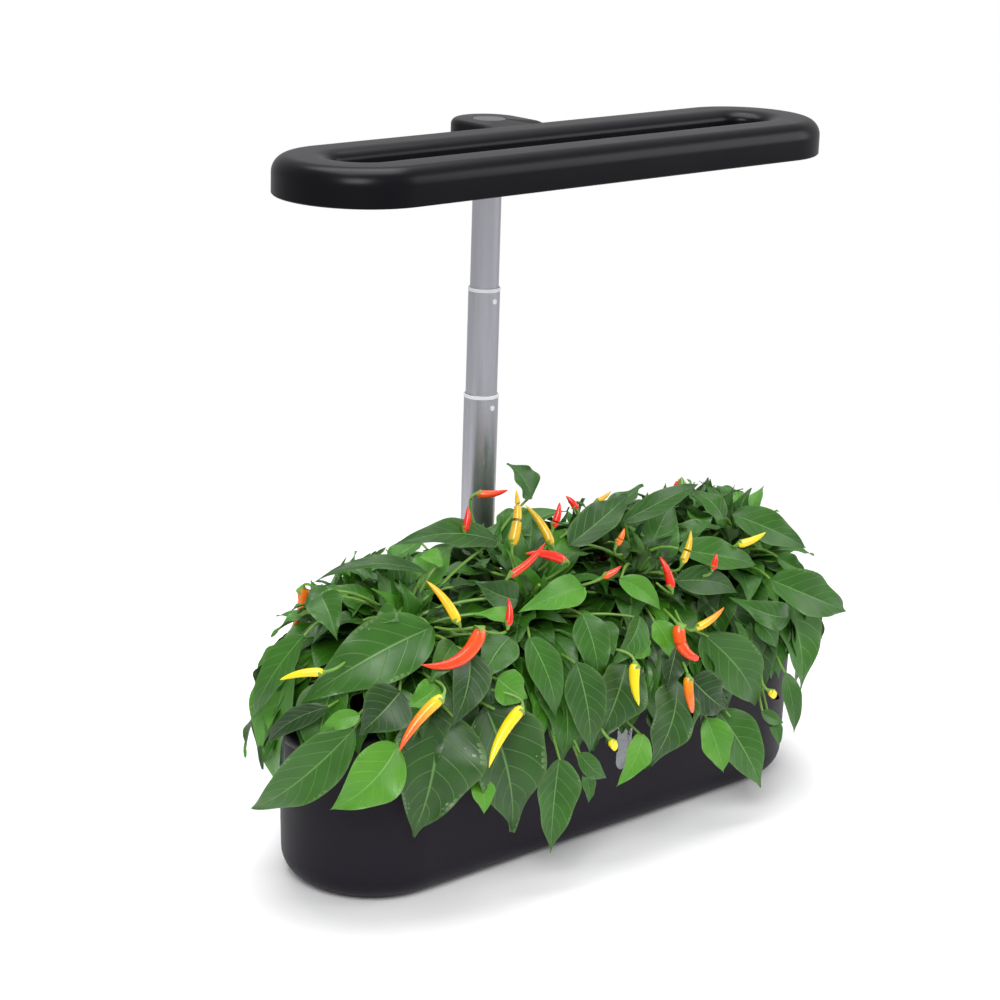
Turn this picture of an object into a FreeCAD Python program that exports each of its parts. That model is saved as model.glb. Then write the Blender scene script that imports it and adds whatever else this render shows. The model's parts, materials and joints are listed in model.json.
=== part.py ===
import FreeCAD, Part
import math
import os
import re
import Sketcher
from FreeCAD import Placement, Rotation, Vector

# Countertop hydroponic garden, in millimetres.
# +Z is up, the long side runs along X and the pole stands behind, at +Y.
# The origin is on the table, under the middle of the tank.

doc = FreeCAD.newDocument("hydroponic_garden")
sheet = doc.addObject("Spreadsheet::Sheet", "Sizes")

SIZES = {
    # Planting deck and tank
    "rim_length": 430.0,
    "rim_width": 131.0,
    "rim_round": 11.3,
    "rim_flat": 0.06,
    "rim_bottom": 94.5,
    "neck": 5.8,
    "foot_height": 1.0,
    "foot_radius": 7.0,
    "tank_top": 100.8,
    "tank_draft": 2.9,
    "tank_wall": 2.6,
    "tank_floor": 3.0,
    "tank_edge_round": 17.8,
    "deck_recess": 1.6,
    "deck_plate": 3.2,
    "deck_lip": 2.4,
    "fit_gap": 0.3,
    # Planting holes
    "pod_count_long": 4,
    "pod_pitch_long": 98.0,
    "pod_pitch_wide": 50.0,
    "pod_hole_radius": 14.5,
    "basket_flange": 3.0,
    "basket_flange_thick": 1.4,
    "basket_depth": 48.0,
    "pod_sides": 16,
    "basket_wall": 1.3,
    "basket_slot": 4.0,
    "basket_slot_height": 29.0,
    "sponge_height": 34.0,
    "fill_hole_radius": 12.0,
    "fill_cap_flange": 3.0,
    "fill_cap_thick": 2.4,
    # Level window
    "window_x": 16.0,
    "window_middle": 68.0,
    "window_length": 44.0,
    "window_width": 14.0,
    "window_flange": 3.0,
    "window_thick": 1.8,
    "gasket_thick": 1.0,
    # Pump
    "pump_x": 174.8,
    "pump_block_length": 23.8,
    "pump_width": 30.0,
    "pump_height": 24.0,
    "strainer_length": 10.2,
    "strainer_wall": 2.0,
    "strainer_slot": 2.4,
    "strainer_slot_pitch": 4.8,
    "cup_radius": 4.0,
    "cup_height": 3.0,
    "nozzle_radius": 4.5,
    "nozzle_bore": 3.0,
    "nozzle_height": 16.0,
    # Pole and its socket
    "pole_y": 75.6,
    "top_tube_radius": 9.5,
    "middle_tube_radius": 10.5,
    "lower_tube_radius": 11.5,
    "tube_wall": 0.75,
    "groove_width": 3.0,
    "groove_depth": 0.3,
    "collar_height": 2.4,
    "collar_proud": 0.25,
    "stud_radius": 1.7,
    "stud_head": 0.5,
    "stud_drop": 6.0,
    "lower_tube_foot": 46.0,
    "lower_tube_end": 274.2,
    "middle_tube_foot": 190.0,
    "middle_tube_end": 346.3,
    "top_tube_foot": 240.0,
    "socket_width": 42.0,
    "socket_depth": 34.5,
    "socket_foot": 12.0,
    "socket_top": 112.0,
    "socket_round": 4.0,
    "jack_radius": 5.0,
    "jack_bore": 2.9,
    "jack_pin": 1.0,
    "jack_depth": 12.0,
    "jack_height": 30.0,
    # Lamp
    "lamp_length": 430.0,
    "lamp_width": 105.6,
    "lamp_tube": 35.4,
    "lamp_y": 5.1,
    "lamp_bottom": 435.7,
    "lamp_height": 23.0,
    "lamp_outer_round": 10.6,
    "lamp_inner_round": 7.0,
    "lamp_wall": 2.2,
    "lamp_cavity": 9.0,
    "diffuser_thick": 2.0,
    "board_thick": 1.6,
    "board_margin": 4.0,
    "chip_size": 3.0,
    "chip_thick": 0.8,
    "chip_count": 20,
    "arm_radius": 24.8,
    "arm_bottom": 438.2,
    "arm_top": 459.6,
    "arm_round": 4.0,
    "arm_cavity_radius": 20.0,
    "arm_cavity": 12.0,
    "arm_cover_thick": 2.2,
    "touch_radius": 10.9,
    "touch_thick": 0.9,
    # Chilli plants
    "stem_radius": 3.2,
    "stem_top": 204.0,
    "leaf_thick": 0.9,
    "leaf_width": 50.0,
    "leaf_reach": 99.0,
    "leaf_lowest": 22.0,
    "leaf_over_deck": 9.0,
    "canopy_overhang_front": 38.0,
    "canopy_overhang_side": 36.0,
    "canopy_overhang_back": 30.0,
    "plant_gap": 0.6,
    "chilli_radius": 4.6,
    "chilli_length": 42.0,
    "stalk_radius": 1.0,
}


def fill_sheet():
    for row, (name, number) in enumerate(SIZES.items(), 1):
        sheet.set("A%d" % row, name)
        sheet.set("B%d" % row, repr(number))
        sheet.setAlias("B%d" % row, name)
    doc.recompute()


def with_sheet(text):
    return re.sub(r"[a-z]+(?:_[a-z]+)+|\bneck\b", lambda m: "Sizes." + m.group(0), text)


def bind(item, place, text):
    item.setExpression(place, with_sheet(text))


def number(text):
    found = sheet.evalExpression(re.sub(r"Sizes\.", "", with_sheet(text)))
    return float(getattr(found, "Value", found))


# Sketches and features of a body

def new_body(name):
    body = doc.addObject("PartDesign::Body", name)
    body.Label = name
    return body


def new_sketch(body, name, role, offset):
    sketch = body.newObject("Sketcher::SketchObject", name)
    plane = [item for item in body.Origin.OriginFeatures if item.Role == role][0]
    sketch.AttachmentSupport = [(plane, "")]
    sketch.MapMode = "FlatFace"
    bind(sketch, "AttachmentOffset.Base.z", offset)
    return sketch


def hold(sketch, label, constraint, text):
    index = sketch.addConstraint(constraint)
    sketch.renameConstraint(index, label)
    bind(sketch, "Constraints." + label, text)


def draw_stadium(sketch, label, length, width, at_x="0", at_y="0"):
    """A slot shape, lying along the sketch's first axis."""
    half = number("(%s - (%s)) / 2" % (length, width))
    radius = number("(%s) / 2" % width)
    cx, cy = number(at_x), number(at_y)
    up = Vector(0, 0, 1)
    right, left = Vector(cx + half, cy, 0), Vector(cx - half, cy, 0)
    rise = Vector(0, radius, 0)
    first = sketch.addGeometry(Part.LineSegment(left + rise, right + rise))
    second = sketch.addGeometry(Part.ArcOfCircle(Part.Circle(right, up, radius), -math.pi / 2, math.pi / 2))
    third = sketch.addGeometry(Part.LineSegment(right - rise, left - rise))
    last = sketch.addGeometry(Part.ArcOfCircle(Part.Circle(left, up, radius), math.pi / 2, 1.5 * math.pi))
    for one, end, other, start in ((first, 2, second, 2), (second, 1, third, 1),
                                   (third, 2, last, 2), (last, 1, first, 1)):
        sketch.addConstraint(Sketcher.Constraint("Tangent", one, end, other, start))
    sketch.addConstraint(Sketcher.Constraint("Horizontal", first))
    sketch.addConstraint(Sketcher.Constraint("Equal", second, last))
    hold(sketch, label + "_radius", Sketcher.Constraint("Radius", second, radius), "(%s) / 2" % width)
    hold(sketch, label + "_right", Sketcher.Constraint("DistanceX", -1, 1, second, 3, cx + half),
         "%s + (%s - (%s)) / 2" % (at_x, length, width))
    hold(sketch, label + "_left", Sketcher.Constraint("DistanceX", -1, 1, last, 3, cx - half),
         "%s - (%s - (%s)) / 2" % (at_x, length, width))
    if number(at_y) == 0:
        sketch.addConstraint(Sketcher.Constraint("PointOnObject", second, 3, -1))
    else:
        hold(sketch, label + "_level", Sketcher.Constraint("DistanceY", -1, 1, second, 3, cy), at_y)


def draw_circle(sketch, label, radius, at_x="0", at_y="0"):
    cx, cy = number(at_x), number(at_y)
    circle = sketch.addGeometry(Part.Circle(Vector(cx, cy, 0), Vector(0, 0, 1), number(radius)))
    hold(sketch, label + "_radius", Sketcher.Constraint("Radius", circle, number(radius)), radius)
    if cx == 0:
        sketch.addConstraint(Sketcher.Constraint("PointOnObject", circle, 3, -2))
    else:
        hold(sketch, label + "_x", Sketcher.Constraint("DistanceX", -1, 1, circle, 3, cx), at_x)
    if cy == 0:
        sketch.addConstraint(Sketcher.Constraint("PointOnObject", circle, 3, -1))
    else:
        hold(sketch, label + "_y", Sketcher.Constraint("DistanceY", -1, 1, circle, 3, cy), at_y)


def pad(body, sketch, length, taper=None, down=False):
    feature = body.newObject("PartDesign::Pad", sketch.Name + "_pad")
    feature.Profile = sketch
    bind(feature, "Length", length)
    if taper:
        bind(feature, "TaperAngle", taper)
    feature.Reversed = down
    doc.recompute()
    return feature


def pocket(body, sketch, length, up=False):
    before = body.Shape.Volume
    feature = body.newObject("PartDesign::Pocket", sketch.Name + "_pocket")
    feature.Profile = sketch
    bind(feature, "Length", length)
    feature.Reversed = up
    doc.recompute()
    if not feature.Shape.Volume < before - 0.01:
        raise RuntimeError("nothing was cut by " + feature.Name)
    return feature


def fillet_level(body, feature, level, radius, choose=None):
    """Round the edges that lie at one height; choose narrows them down."""
    names = []
    for index, edge in enumerate(feature.Shape.Edges, 1):
        box = edge.BoundBox
        if abs(box.ZMin - level) < 1e-4 and abs(box.ZMax - level) < 1e-4:
            if choose is None or choose(edge):
                names.append("Edge%d" % index)
    rounded = body.newObject("PartDesign::Fillet", feature.Name + "_round")
    rounded.Base = (feature, names)
    bind(rounded, "Radius", radius)
    doc.recompute()
    return rounded


def on_lamp_outside(edge):
    """Whether an edge of the lamp's ring lies on the outer side of the tube's middle line."""
    box = edge.BoundBox
    far_x = max(abs(box.XMin), abs(box.XMax))
    far_y = max(abs(box.YMin - SIZES["lamp_y"]), abs(box.YMax - SIZES["lamp_y"]))
    return far_x > number("(lamp_length - lamp_tube) / 2") or far_y > number("(lamp_width - lamp_tube) / 2")


# Part primitives and booleans

def solid(kind, name, place=None, **sizes):
    item = doc.addObject("Part::" + kind, name)
    for prop, text in sizes.items():
        bind(item, prop, text)
    for axis, text in zip("xyz", place or ()):
        bind(item, "Placement.Base." + axis, text)
    return item


def join(name, *items):
    item = doc.addObject("Part::MultiFuse", name)
    item.Shapes = list(items)
    return item


def cut(name, base, tool):
    item = doc.addObject("Part::Cut", name)
    item.Base = base
    item.Tool = tool
    return item


def common(name, one, other):
    item = doc.addObject("Part::MultiCommon", name)
    item.Shapes = [one, other]
    return item


TANK_LENGTH = "rim_length - 2 * neck"
TANK_WIDTH = "rim_width - 2 * neck"
TANK_SLOPE = "atan(tank_draft / (tank_top - foot_height))"
WALL_ALONG = "tank_wall / cos(%s)" % TANK_SLOPE
DECK_TOP = "rim_bottom + 2 * rim_round + rim_flat"
DECK_FLOOR = "rim_bottom + 2 * rim_round - deck_recess"
POD_X = "(%d - (pod_count_long - 1) / 2) * pod_pitch_long"
POD_Y = "%s pod_pitch_wide / 2"
SOCKET_FRONT = "rim_width / 2 - neck + fit_gap"
JACK_FRONT = SOCKET_FRONT + " + socket_depth - jack_depth"


def pod_places():
    """Column and row of each planting hole, left to right, front row first."""
    columns = int(SIZES["pod_count_long"])
    return [(column, sign) for sign in ("-", "") for column in range(columns)]


def make_tub(name, level, inset, edge):
    """A drafted slot-shaped block with a rounded foot, standing on level and reaching the tank's top."""
    body = new_body(name)
    outline = new_sketch(body, name + "_outline", "XY_Plane", level)
    slope = "2 * tank_draft * (tank_top - (%s)) / (tank_top - foot_height) + 2 * (%s)" % (level, inset)
    draw_stadium(outline, "outline", "%s - (%s)" % (TANK_LENGTH, slope), "%s - (%s)" % (TANK_WIDTH, slope))
    block = pad(body, outline, "tank_top - (%s)" % level, taper=TANK_SLOPE)
    fillet_level(body, block, number(level), edge)
    return body


def make_tank():
    outside = make_tub("tank_outside", "foot_height", "0", "tank_edge_round")
    inside = make_tub("tank_inside", "foot_height + tank_floor", "tank_wall", "tank_edge_round - tank_wall")
    opening = new_body("tank_window_opening")
    capsule = new_sketch(opening, "window_opening", "XZ_Plane", "0")
    draw_upright_capsule(capsule, "window_length", "window_width")
    pad(opening, capsule, "rim_width")
    return cut("tank", outside, join("tank_openings", inside, opening))


def draw_upright_capsule(sketch, length, width, at_x="window_x", at_y="window_middle"):
    """The level window's outline: a slot that stands upright."""
    radius = number("(%s) / 2" % width)
    half = number("(%s - (%s)) / 2" % (length, width))
    cx, cy = number(at_x), number(at_y)
    up = Vector(0, 0, 1)
    top, bottom = Vector(cx, cy + half, 0), Vector(cx, cy - half, 0)
    side = Vector(radius, 0, 0)
    first = sketch.addGeometry(Part.LineSegment(bottom + side, top + side))
    second = sketch.addGeometry(Part.ArcOfCircle(Part.Circle(top, up, radius), 0, math.pi))
    third = sketch.addGeometry(Part.LineSegment(top - side, bottom - side))
    last = sketch.addGeometry(Part.ArcOfCircle(Part.Circle(bottom, up, radius), math.pi, 2 * math.pi))
    for one, end, other, start in ((first, 2, second, 1), (second, 2, third, 1),
                                   (third, 2, last, 1), (last, 2, first, 1)):
        sketch.addConstraint(Sketcher.Constraint("Tangent", one, end, other, start))
    sketch.addConstraint(Sketcher.Constraint("Vertical", first))
    sketch.addConstraint(Sketcher.Constraint("Equal", second, last))
    hold(sketch, "capsule_radius", Sketcher.Constraint("Radius", second, radius), "(%s) / 2" % width)
    if cx == 0:
        sketch.addConstraint(Sketcher.Constraint("PointOnObject", second, 3, -2))
    else:
        hold(sketch, "capsule_x", Sketcher.Constraint("DistanceX", -1, 1, second, 3, cx), at_x)
    hold(sketch, "capsule_top", Sketcher.Constraint("DistanceY", -1, 1, second, 3, cy + half),
         "%s + (%s - (%s)) / 2" % (at_y, length, width))
    hold(sketch, "capsule_bottom", Sketcher.Constraint("DistanceY", -1, 1, last, 3, cy - half),
         "%s - (%s - (%s)) / 2" % (at_y, length, width))


def lay_on_front_wall(body, depth):
    """Lean a window piece with the drafted front wall, depth behind its outer face."""
    bind(body, "Placement.Base.x", "window_x")
    half = TANK_WIDTH + " - 2 * tank_draft * (tank_top - window_middle) / (tank_top - foot_height)"
    bind(body, "Placement.Base.y", "-(%s) / 2 + %s" % (half, depth))
    bind(body, "Placement.Base.z", "window_middle")
    body.Placement = Placement(body.Placement.Base, Rotation(Vector(1, 0, 0), 1))
    bind(body, "Placement.Rotation.Angle", TANK_SLOPE)


def make_window():
    lens = new_body("level_window")
    pane = new_sketch(lens, "window_pane", "XZ_Plane", "0")
    draw_upright_capsule(pane, "window_length - 2 * fit_gap", "window_width - 2 * fit_gap", "0", "0")
    pane_depth = WALL_ALONG + " + gasket_thick - fit_gap"
    pad(lens, pane, pane_depth, down=True)
    flange = new_sketch(lens, "window_flange_outline", "XZ_Plane", "-(%s)" % pane_depth)
    draw_upright_capsule(flange, "window_length + 2 * window_flange", "window_width + 2 * window_flange",
                         "0", "0")
    pad(lens, flange, "window_thick", down=True)
    lay_on_front_wall(lens, "fit_gap")
    gasket = new_body("window_gasket")
    ring = new_sketch(gasket, "gasket_ring", "XZ_Plane", "0")
    draw_upright_capsule(ring, "window_length + 2 * window_flange", "window_width + 2 * window_flange",
                         "0", "0")
    pad(gasket, ring, "gasket_thick", down=True)
    hole = new_sketch(gasket, "gasket_hole", "XZ_Plane", "0")
    draw_upright_capsule(hole, "window_length", "window_width", "0", "0")
    pocket(gasket, hole, "gasket_thick")
    lay_on_front_wall(gasket, WALL_ALONG)
    return [lens, gasket]


def make_feet():
    pads = [solid("Cylinder", "foot_pad", None, Radius="foot_radius", Height="foot_height")]
    for column in (-1, 1):
        for row in (-1, 1):
            place = ("%d * (rim_length - rim_width) / 2" % column,
                     "%d * (rim_width / 2 - tank_edge_round - neck - foot_radius - 2 * foot_height)" % row, "0")
            pads.append(solid("Cylinder", "foot_pad", place, Radius="foot_radius", Height="foot_height"))
    feet = join("rubber_feet", *pads)
    return [feet]


def make_deck():
    body = new_body("planting_deck")
    outline = new_sketch(body, "deck_outline", "XY_Plane", "rim_bottom")
    draw_stadium(outline, "outline", "rim_length", "rim_width")
    block = pad(body, outline, "2 * rim_round + rim_flat")
    top = number(DECK_TOP)
    rounded = fillet_level(body, block, number("rim_bottom"), "rim_round")
    fillet_level(body, rounded, top, "rim_round")
    seat = new_sketch(body, "deck_seat", "XY_Plane", "rim_bottom")
    draw_stadium(seat, "seat", TANK_LENGTH + " + 2 * fit_gap", TANK_WIDTH + " + 2 * fit_gap")
    pocket(body, seat, "tank_top - rim_bottom", up=True)
    under = new_sketch(body, "deck_underside", "XY_Plane", "tank_top")
    inset = " - 2 * tank_wall - 2 * deck_lip - 2 * fit_gap"
    draw_stadium(under, "under", TANK_LENGTH + inset, TANK_WIDTH + inset)
    pocket(body, under, DECK_FLOOR + " - deck_plate - tank_top", up=True)
    recess = new_sketch(body, "deck_recess_outline", "XY_Plane", DECK_TOP)
    draw_stadium(recess, "recess", "rim_length - 2 * rim_round", "rim_width - 2 * rim_round")
    pocket(body, recess, "deck_recess + rim_flat")
    holes = new_sketch(body, "deck_holes", "XY_Plane", "rim_bottom + 2 * rim_round")
    for index, (column, sign) in enumerate(pod_places()):
        draw_circle(holes, "pod%d" % index, "pod_hole_radius", POD_X % column, POD_Y % sign)
    draw_circle(holes, "fill", "fill_hole_radius")
    pocket(body, holes, "rim_bottom + 2 * rim_round - tank_top")
    notch = new_sketch(body, "deck_notch", "XY_Plane", "rim_bottom + 3 * rim_round")
    draw_stadium(notch, "notch", "socket_width + 2 * fit_gap + socket_depth", "socket_depth", "0",
                 SOCKET_FRONT + " + socket_depth / 2")
    pocket(body, notch, "3 * rim_round")
    return [body]


def prism(name, radius, height, level="0"):
    """A net pot's faceted wall: an upright prism with pod_sides flats."""
    item = doc.addObject("Part::Prism", name)
    item.Polygon = int(SIZES["pod_sides"])
    bind(item, "Circumradius", radius)
    bind(item, "Height", height)
    bind(item, "Placement.Base.z", level)
    return item


def make_basket(index, column, sign):
    barrel = "pod_hole_radius - fit_gap"
    cup = prism("basket_cup", barrel, "basket_depth", "-basket_depth")
    flange = prism("basket_flange_plate", "pod_hole_radius + basket_flange", "basket_flange_thick")
    hollow = prism("basket_hollow", barrel + " - basket_wall", "basket_depth + basket_flange_thick",
                   "basket_wall - basket_depth")
    foot = "-basket_depth - basket_wall"
    long_slot = solid("Box", "basket_slot", ("-pod_hole_radius", "-basket_slot / 2", foot),
                      Length="2 * pod_hole_radius", Width="basket_slot", Height="basket_slot_height")
    cross_slot = solid("Box", "basket_slot", ("-basket_slot / 2", "-pod_hole_radius", foot),
                       Length="basket_slot", Width="2 * pod_hole_radius", Height="basket_slot_height")
    basket = cut("pod_basket_%d" % index, join("basket_outside", cup, flange),
                 join("basket_inside", hollow, long_slot, cross_slot))
    place_pod(basket, column, sign, DECK_FLOOR)
    return basket


def make_sponge(index, column, sign):
    sponge = prism("grow_sponge_%d" % index, "pod_hole_radius - 2 * fit_gap - basket_wall", "sponge_height")
    place_pod(sponge, column, sign, DECK_FLOOR + " - sponge_height")
    return sponge


def place_pod(item, column, sign, level):
    bind(item, "Placement.Base.x", POD_X % column)
    bind(item, "Placement.Base.y", POD_Y % sign)
    bind(item, "Placement.Base.z", level)


def make_fill_cap():
    plug = solid("Cylinder", "cap_plug", ("0", "0", "-deck_plate"), Radius="fill_hole_radius - fit_gap",
                 Height="deck_plate")
    lid = solid("Cylinder", "cap_lid", None, Radius="fill_hole_radius + fill_cap_flange", Height="fill_cap_thick")
    grip = solid("Box", "cap_grip", ("-fill_hole_radius / 2", "-fill_cap_thick / 2", "fill_cap_thick"),
                 Length="fill_hole_radius", Width="fill_cap_thick", Height="2 * fill_cap_thick")
    cap = join("fill_cap", plug, lid, grip)
    bind(cap, "Placement.Base.z", DECK_FLOOR)
    return [cap]


FLOOR = "foot_height + tank_floor"


def make_pump():
    """The pump, its snap-on strainer with a sponge inside, the outlet nozzle and the suction cups."""
    middle = "-pump_block_length / 2"
    port_radius = "nozzle_bore - 2 * fit_gap"
    block = solid("Box", "pump_block", ("-pump_block_length", "-pump_width / 2", "0"),
                  Length="pump_block_length", Width="pump_width", Height="pump_height")
    coupling = solid("Cylinder", "pump_neck", (middle, "0", "pump_height"),
                     Radius="nozzle_bore + fit_gap", Height="nozzle_bore")
    port = solid("Cylinder", "pump_port", (middle, "0", "pump_height / 2"), Radius=port_radius,
                 Height="pump_height")
    body = cut("pump_body", join("pump_outside", block, coupling), port)
    strainer = make_strainer()
    sponge = solid("Box", "pump_sponge", None, Length="strainer_length - strainer_wall - 2 * fit_gap",
                   Width="pump_width - 2 * strainer_wall - 2 * fit_gap",
                   Height="pump_height - 2 * strainer_wall - 2 * fit_gap")
    seat = solid("Cylinder", "nozzle_seat", None, Radius="nozzle_bore + fit_gap", Height="nozzle_bore")
    way = solid("Cylinder", "nozzle_way", None, Radius=port_radius, Height="nozzle_height")
    nozzle = cut("pump_nozzle",
                 solid("Cylinder", "nozzle_tube", None, Radius="nozzle_radius", Height="nozzle_height"),
                 join("nozzle_inside", seat, way))
    cups = join("suction_cups", *[
        solid("Cone", "suction_cup", (x, y, "0"), Radius1="cup_radius", Radius2="cup_radius / 2",
              Height="cup_height")
        for x in ("cup_radius - pump_block_length", "strainer_length - cup_radius")
        for y in ("cup_radius - pump_width / 2", "pump_width / 2 - cup_radius")])
    level = FLOOR + " + cup_height"
    sponge_foot = level + " + strainer_wall + fit_gap"
    for item, x, y, z in ((body, "0", "0", level), (strainer, "0", "0", level), (cups, "0", "0", FLOOR),
                          (nozzle, middle, "0", level + " + pump_height"),
                          (sponge, "fit_gap", "strainer_wall + fit_gap - pump_width / 2", sponge_foot)):
        bind(item, "Placement.Base.x", "pump_x + " + x)
        bind(item, "Placement.Base.y", y)
        bind(item, "Placement.Base.z", z)
    return [body, strainer, sponge, nozzle, cups]


def make_strainer():
    case = solid("Box", "strainer_case", ("0", "-pump_width / 2", "0"), Length="strainer_length",
                 Width="pump_width", Height="pump_height")
    cell = solid("Box", "strainer_cell", ("0", "strainer_wall - pump_width / 2", "strainer_wall"),
                 Length="strainer_length - strainer_wall", Width="pump_width - 2 * strainer_wall",
                 Height="pump_height - 2 * strainer_wall")
    slots = [solid("Box", "strainer_slot",
                   ("strainer_length / 2", "%d * strainer_slot_pitch - strainer_slot / 2" % row,
                    "2 * strainer_wall"),
                   Length="strainer_length", Width="strainer_slot", Height="pump_height - 4 * strainer_wall")
             for row in (-2, -1, 0, 1, 2)]
    return cut("pump_strainer", case, join("strainer_openings", cell, *slots))


def make_socket():
    block = solid("Box", "socket_block", ("-socket_width / 2", SOCKET_FRONT, "socket_foot"),
                  Length="socket_width", Width="socket_depth", Height="socket_top - socket_foot")
    doc.recompute()
    rounded = doc.addObject("Part::Fillet", "socket_rounded")
    rounded.Base = block
    reach = number("socket_round")
    back = number(SOCKET_FRONT + " + socket_depth")
    edges = [index for index, edge in enumerate(block.Shape.Edges, 1)
             if abs(edge.BoundBox.YMax - back) < 1e-6 and edge.BoundBox.YMin > back - 1e-6]
    rounded.Edges = [(index, reach, reach) for index in edges]
    bore = solid("Cylinder", "socket_bore", ("0", "pole_y", "lower_tube_foot"),
                 Radius="lower_tube_radius", Height="socket_top")
    port = solid("Cylinder", "jack_port", ("0", JACK_FRONT, "jack_height"),
                 Radius="jack_radius", Height="2 * jack_depth")
    port.Placement = Placement(port.Placement.Base, Rotation(Vector(1, 0, 0), -90))
    socket = cut("pole_socket", rounded, join("socket_openings", bore, port))
    return [socket]


def make_jack():
    can = solid("Cylinder", "jack_can", None, Radius="jack_radius", Height="jack_depth")
    well = solid("Cylinder", "jack_well", ("0", "0", "jack_pin"), Radius="jack_bore", Height="jack_depth")
    pin = solid("Cylinder", "jack_centre", None, Radius="jack_pin", Height="jack_depth - jack_pin")
    jack = join("power_jack", cut("jack_sleeve", can, well), pin)
    jack.Placement = Placement(Vector(0, 0, 0), Rotation(Vector(1, 0, 0), -90))
    bind(jack, "Placement.Base.y", JACK_FRONT)
    bind(jack, "Placement.Base.z", "jack_height")
    return [jack]


def make_tube(name, radius, foot, end, stud):
    """A drawn tube with a shallow guide groove down each side."""
    outside = solid("Cylinder", name + "_outside", None, Radius=radius, Height="%s - %s" % (end, foot))
    inside = solid("Cylinder", name + "_inside", None, Radius=radius + " - tube_wall",
                   Height="%s - %s" % (end, foot))
    tools = [inside]
    for side in (-1, 1):
        place = ("%d * %s - groove_depth" % (side, radius), "-groove_width / 2", "0")
        tools.append(solid("Box", name + "_groove", place, Length="2 * groove_depth", Width="groove_width",
                           Height="%s - %s" % (end, foot)))
    if stud:
        hole = solid("Cylinder", name + "_stud_hole", ("0", "0", "%s - %s - stud_drop" % (end, foot)),
                     Radius="stud_radius", Height="2 * " + radius)
        hole.Placement = Placement(hole.Placement.Base, Rotation(Vector(1, 0, 0), 90))
        tools.append(hole)
    tube = cut(name, outside, join(name + "_cuts", *tools))
    bind(tube, "Placement.Base.y", "pole_y")
    bind(tube, "Placement.Base.z", foot)
    return tube


def make_collar(name, radius, end):
    """The white guide ring that caps a tube and centres the next one."""
    ring = cut(name,
               solid("Cylinder", name + "_outside", None, Radius=radius + " + collar_proud",
                     Height="collar_height"),
               solid("Cylinder", name + "_inside", None, Radius=radius + " - tube_wall", Height="collar_height"))
    bind(ring, "Placement.Base.y", "pole_y")
    bind(ring, "Placement.Base.z", end)
    return ring


def make_stud(name, radius, end):
    """The guide ring's locating stud, which shows as a white dot in the tube's front."""
    shank = solid("Cylinder", name + "_shank", None, Radius="stud_radius", Height="2 * " + radius)
    shank.Placement = Placement(Vector(0, 0, 0), Rotation(Vector(1, 0, 0), 90))
    cap = solid("Cylinder", name + "_reach", ("0", "0", "-" + radius),
                Radius=radius + " + stud_head", Height="2 * " + radius)
    core = solid("Cylinder", name + "_core", ("0", "0", "-" + radius), Radius=radius + " - tube_wall",
                 Height="2 * " + radius)
    stud = cut(name, common(name + "_round", shank, cap), core)
    bind(stud, "Placement.Base.y", "pole_y")
    bind(stud, "Placement.Base.z", end + " - stud_drop")
    return stud


def make_pole():
    return [
        make_tube("lower_tube", "lower_tube_radius", "lower_tube_foot", "lower_tube_end", True),
        make_tube("middle_tube", "middle_tube_radius", "middle_tube_foot", "middle_tube_end", True),
        make_tube("top_tube", "top_tube_radius", "top_tube_foot", "(arm_bottom + arm_cavity)", False),
        make_collar("lower_collar", "lower_tube_radius", "lower_tube_end"),
        make_collar("middle_collar", "middle_tube_radius", "middle_tube_end"),
        make_stud("lower_stud", "lower_tube_radius", "lower_tube_end"),
        make_stud("middle_stud", "middle_tube_radius", "middle_tube_end"),
    ]


def ring_sketch(body, name, level, inset, y="lamp_y"):
    """Two slot outlines, one in the other, that leave a ring of the lamp's form."""
    sketch = new_sketch(body, name, "XY_Plane", level)
    draw_stadium(sketch, "outer", "lamp_length - 2 * (%s)" % inset, "lamp_width - 2 * (%s)" % inset, "0", y)
    tube = "2 * lamp_tube - 2 * (%s)" % inset
    draw_stadium(sketch, "inner", "lamp_length - (%s)" % tube, "lamp_width - (%s)" % tube, "0", y)
    return sketch


def make_lamp_shell():
    body = new_body("lamp_ring")
    block = pad(body, ring_sketch(body, "ring_outline", "lamp_bottom", "0"), "lamp_height")
    top = number("lamp_bottom + lamp_height")
    rounded = fillet_level(body, block, top, "lamp_outer_round", on_lamp_outside)
    fillet_level(body, rounded, top, "lamp_inner_round", lambda edge: not on_lamp_outside(edge))
    arm = new_body("lamp_arm")
    tongue = new_sketch(arm, "arm_outline", "XY_Plane", "arm_bottom")
    draw_arm(tongue)
    slab = pad(arm, tongue, "arm_top - arm_bottom")
    fillet_level(arm, slab, number("arm_top"), "arm_round",
                 lambda edge: edge.BoundBox.YMax > number(ARM_START) + 0.1)
    cavity = new_body("lamp_cavity_room")
    pad(cavity, ring_sketch(cavity, "ring_cavity", "lamp_bottom", "lamp_wall"), "lamp_cavity")
    room = solid("Cylinder", "arm_room", ("0", "pole_y", "arm_bottom"), Radius="arm_cavity_radius",
                 Height="arm_cavity")
    dish = solid("Cylinder", "touch_seat", ("0", "pole_y", "arm_top - touch_thick"),
                 Radius="touch_radius + fit_gap / 2", Height="2 * touch_thick")
    shell = cut("lamp_shell", join("lamp_form", body, arm), join("lamp_rooms", cavity, room, dish))
    return [shell]


ARM_START = "lamp_y + (lamp_width - lamp_tube) / 2"


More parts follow.
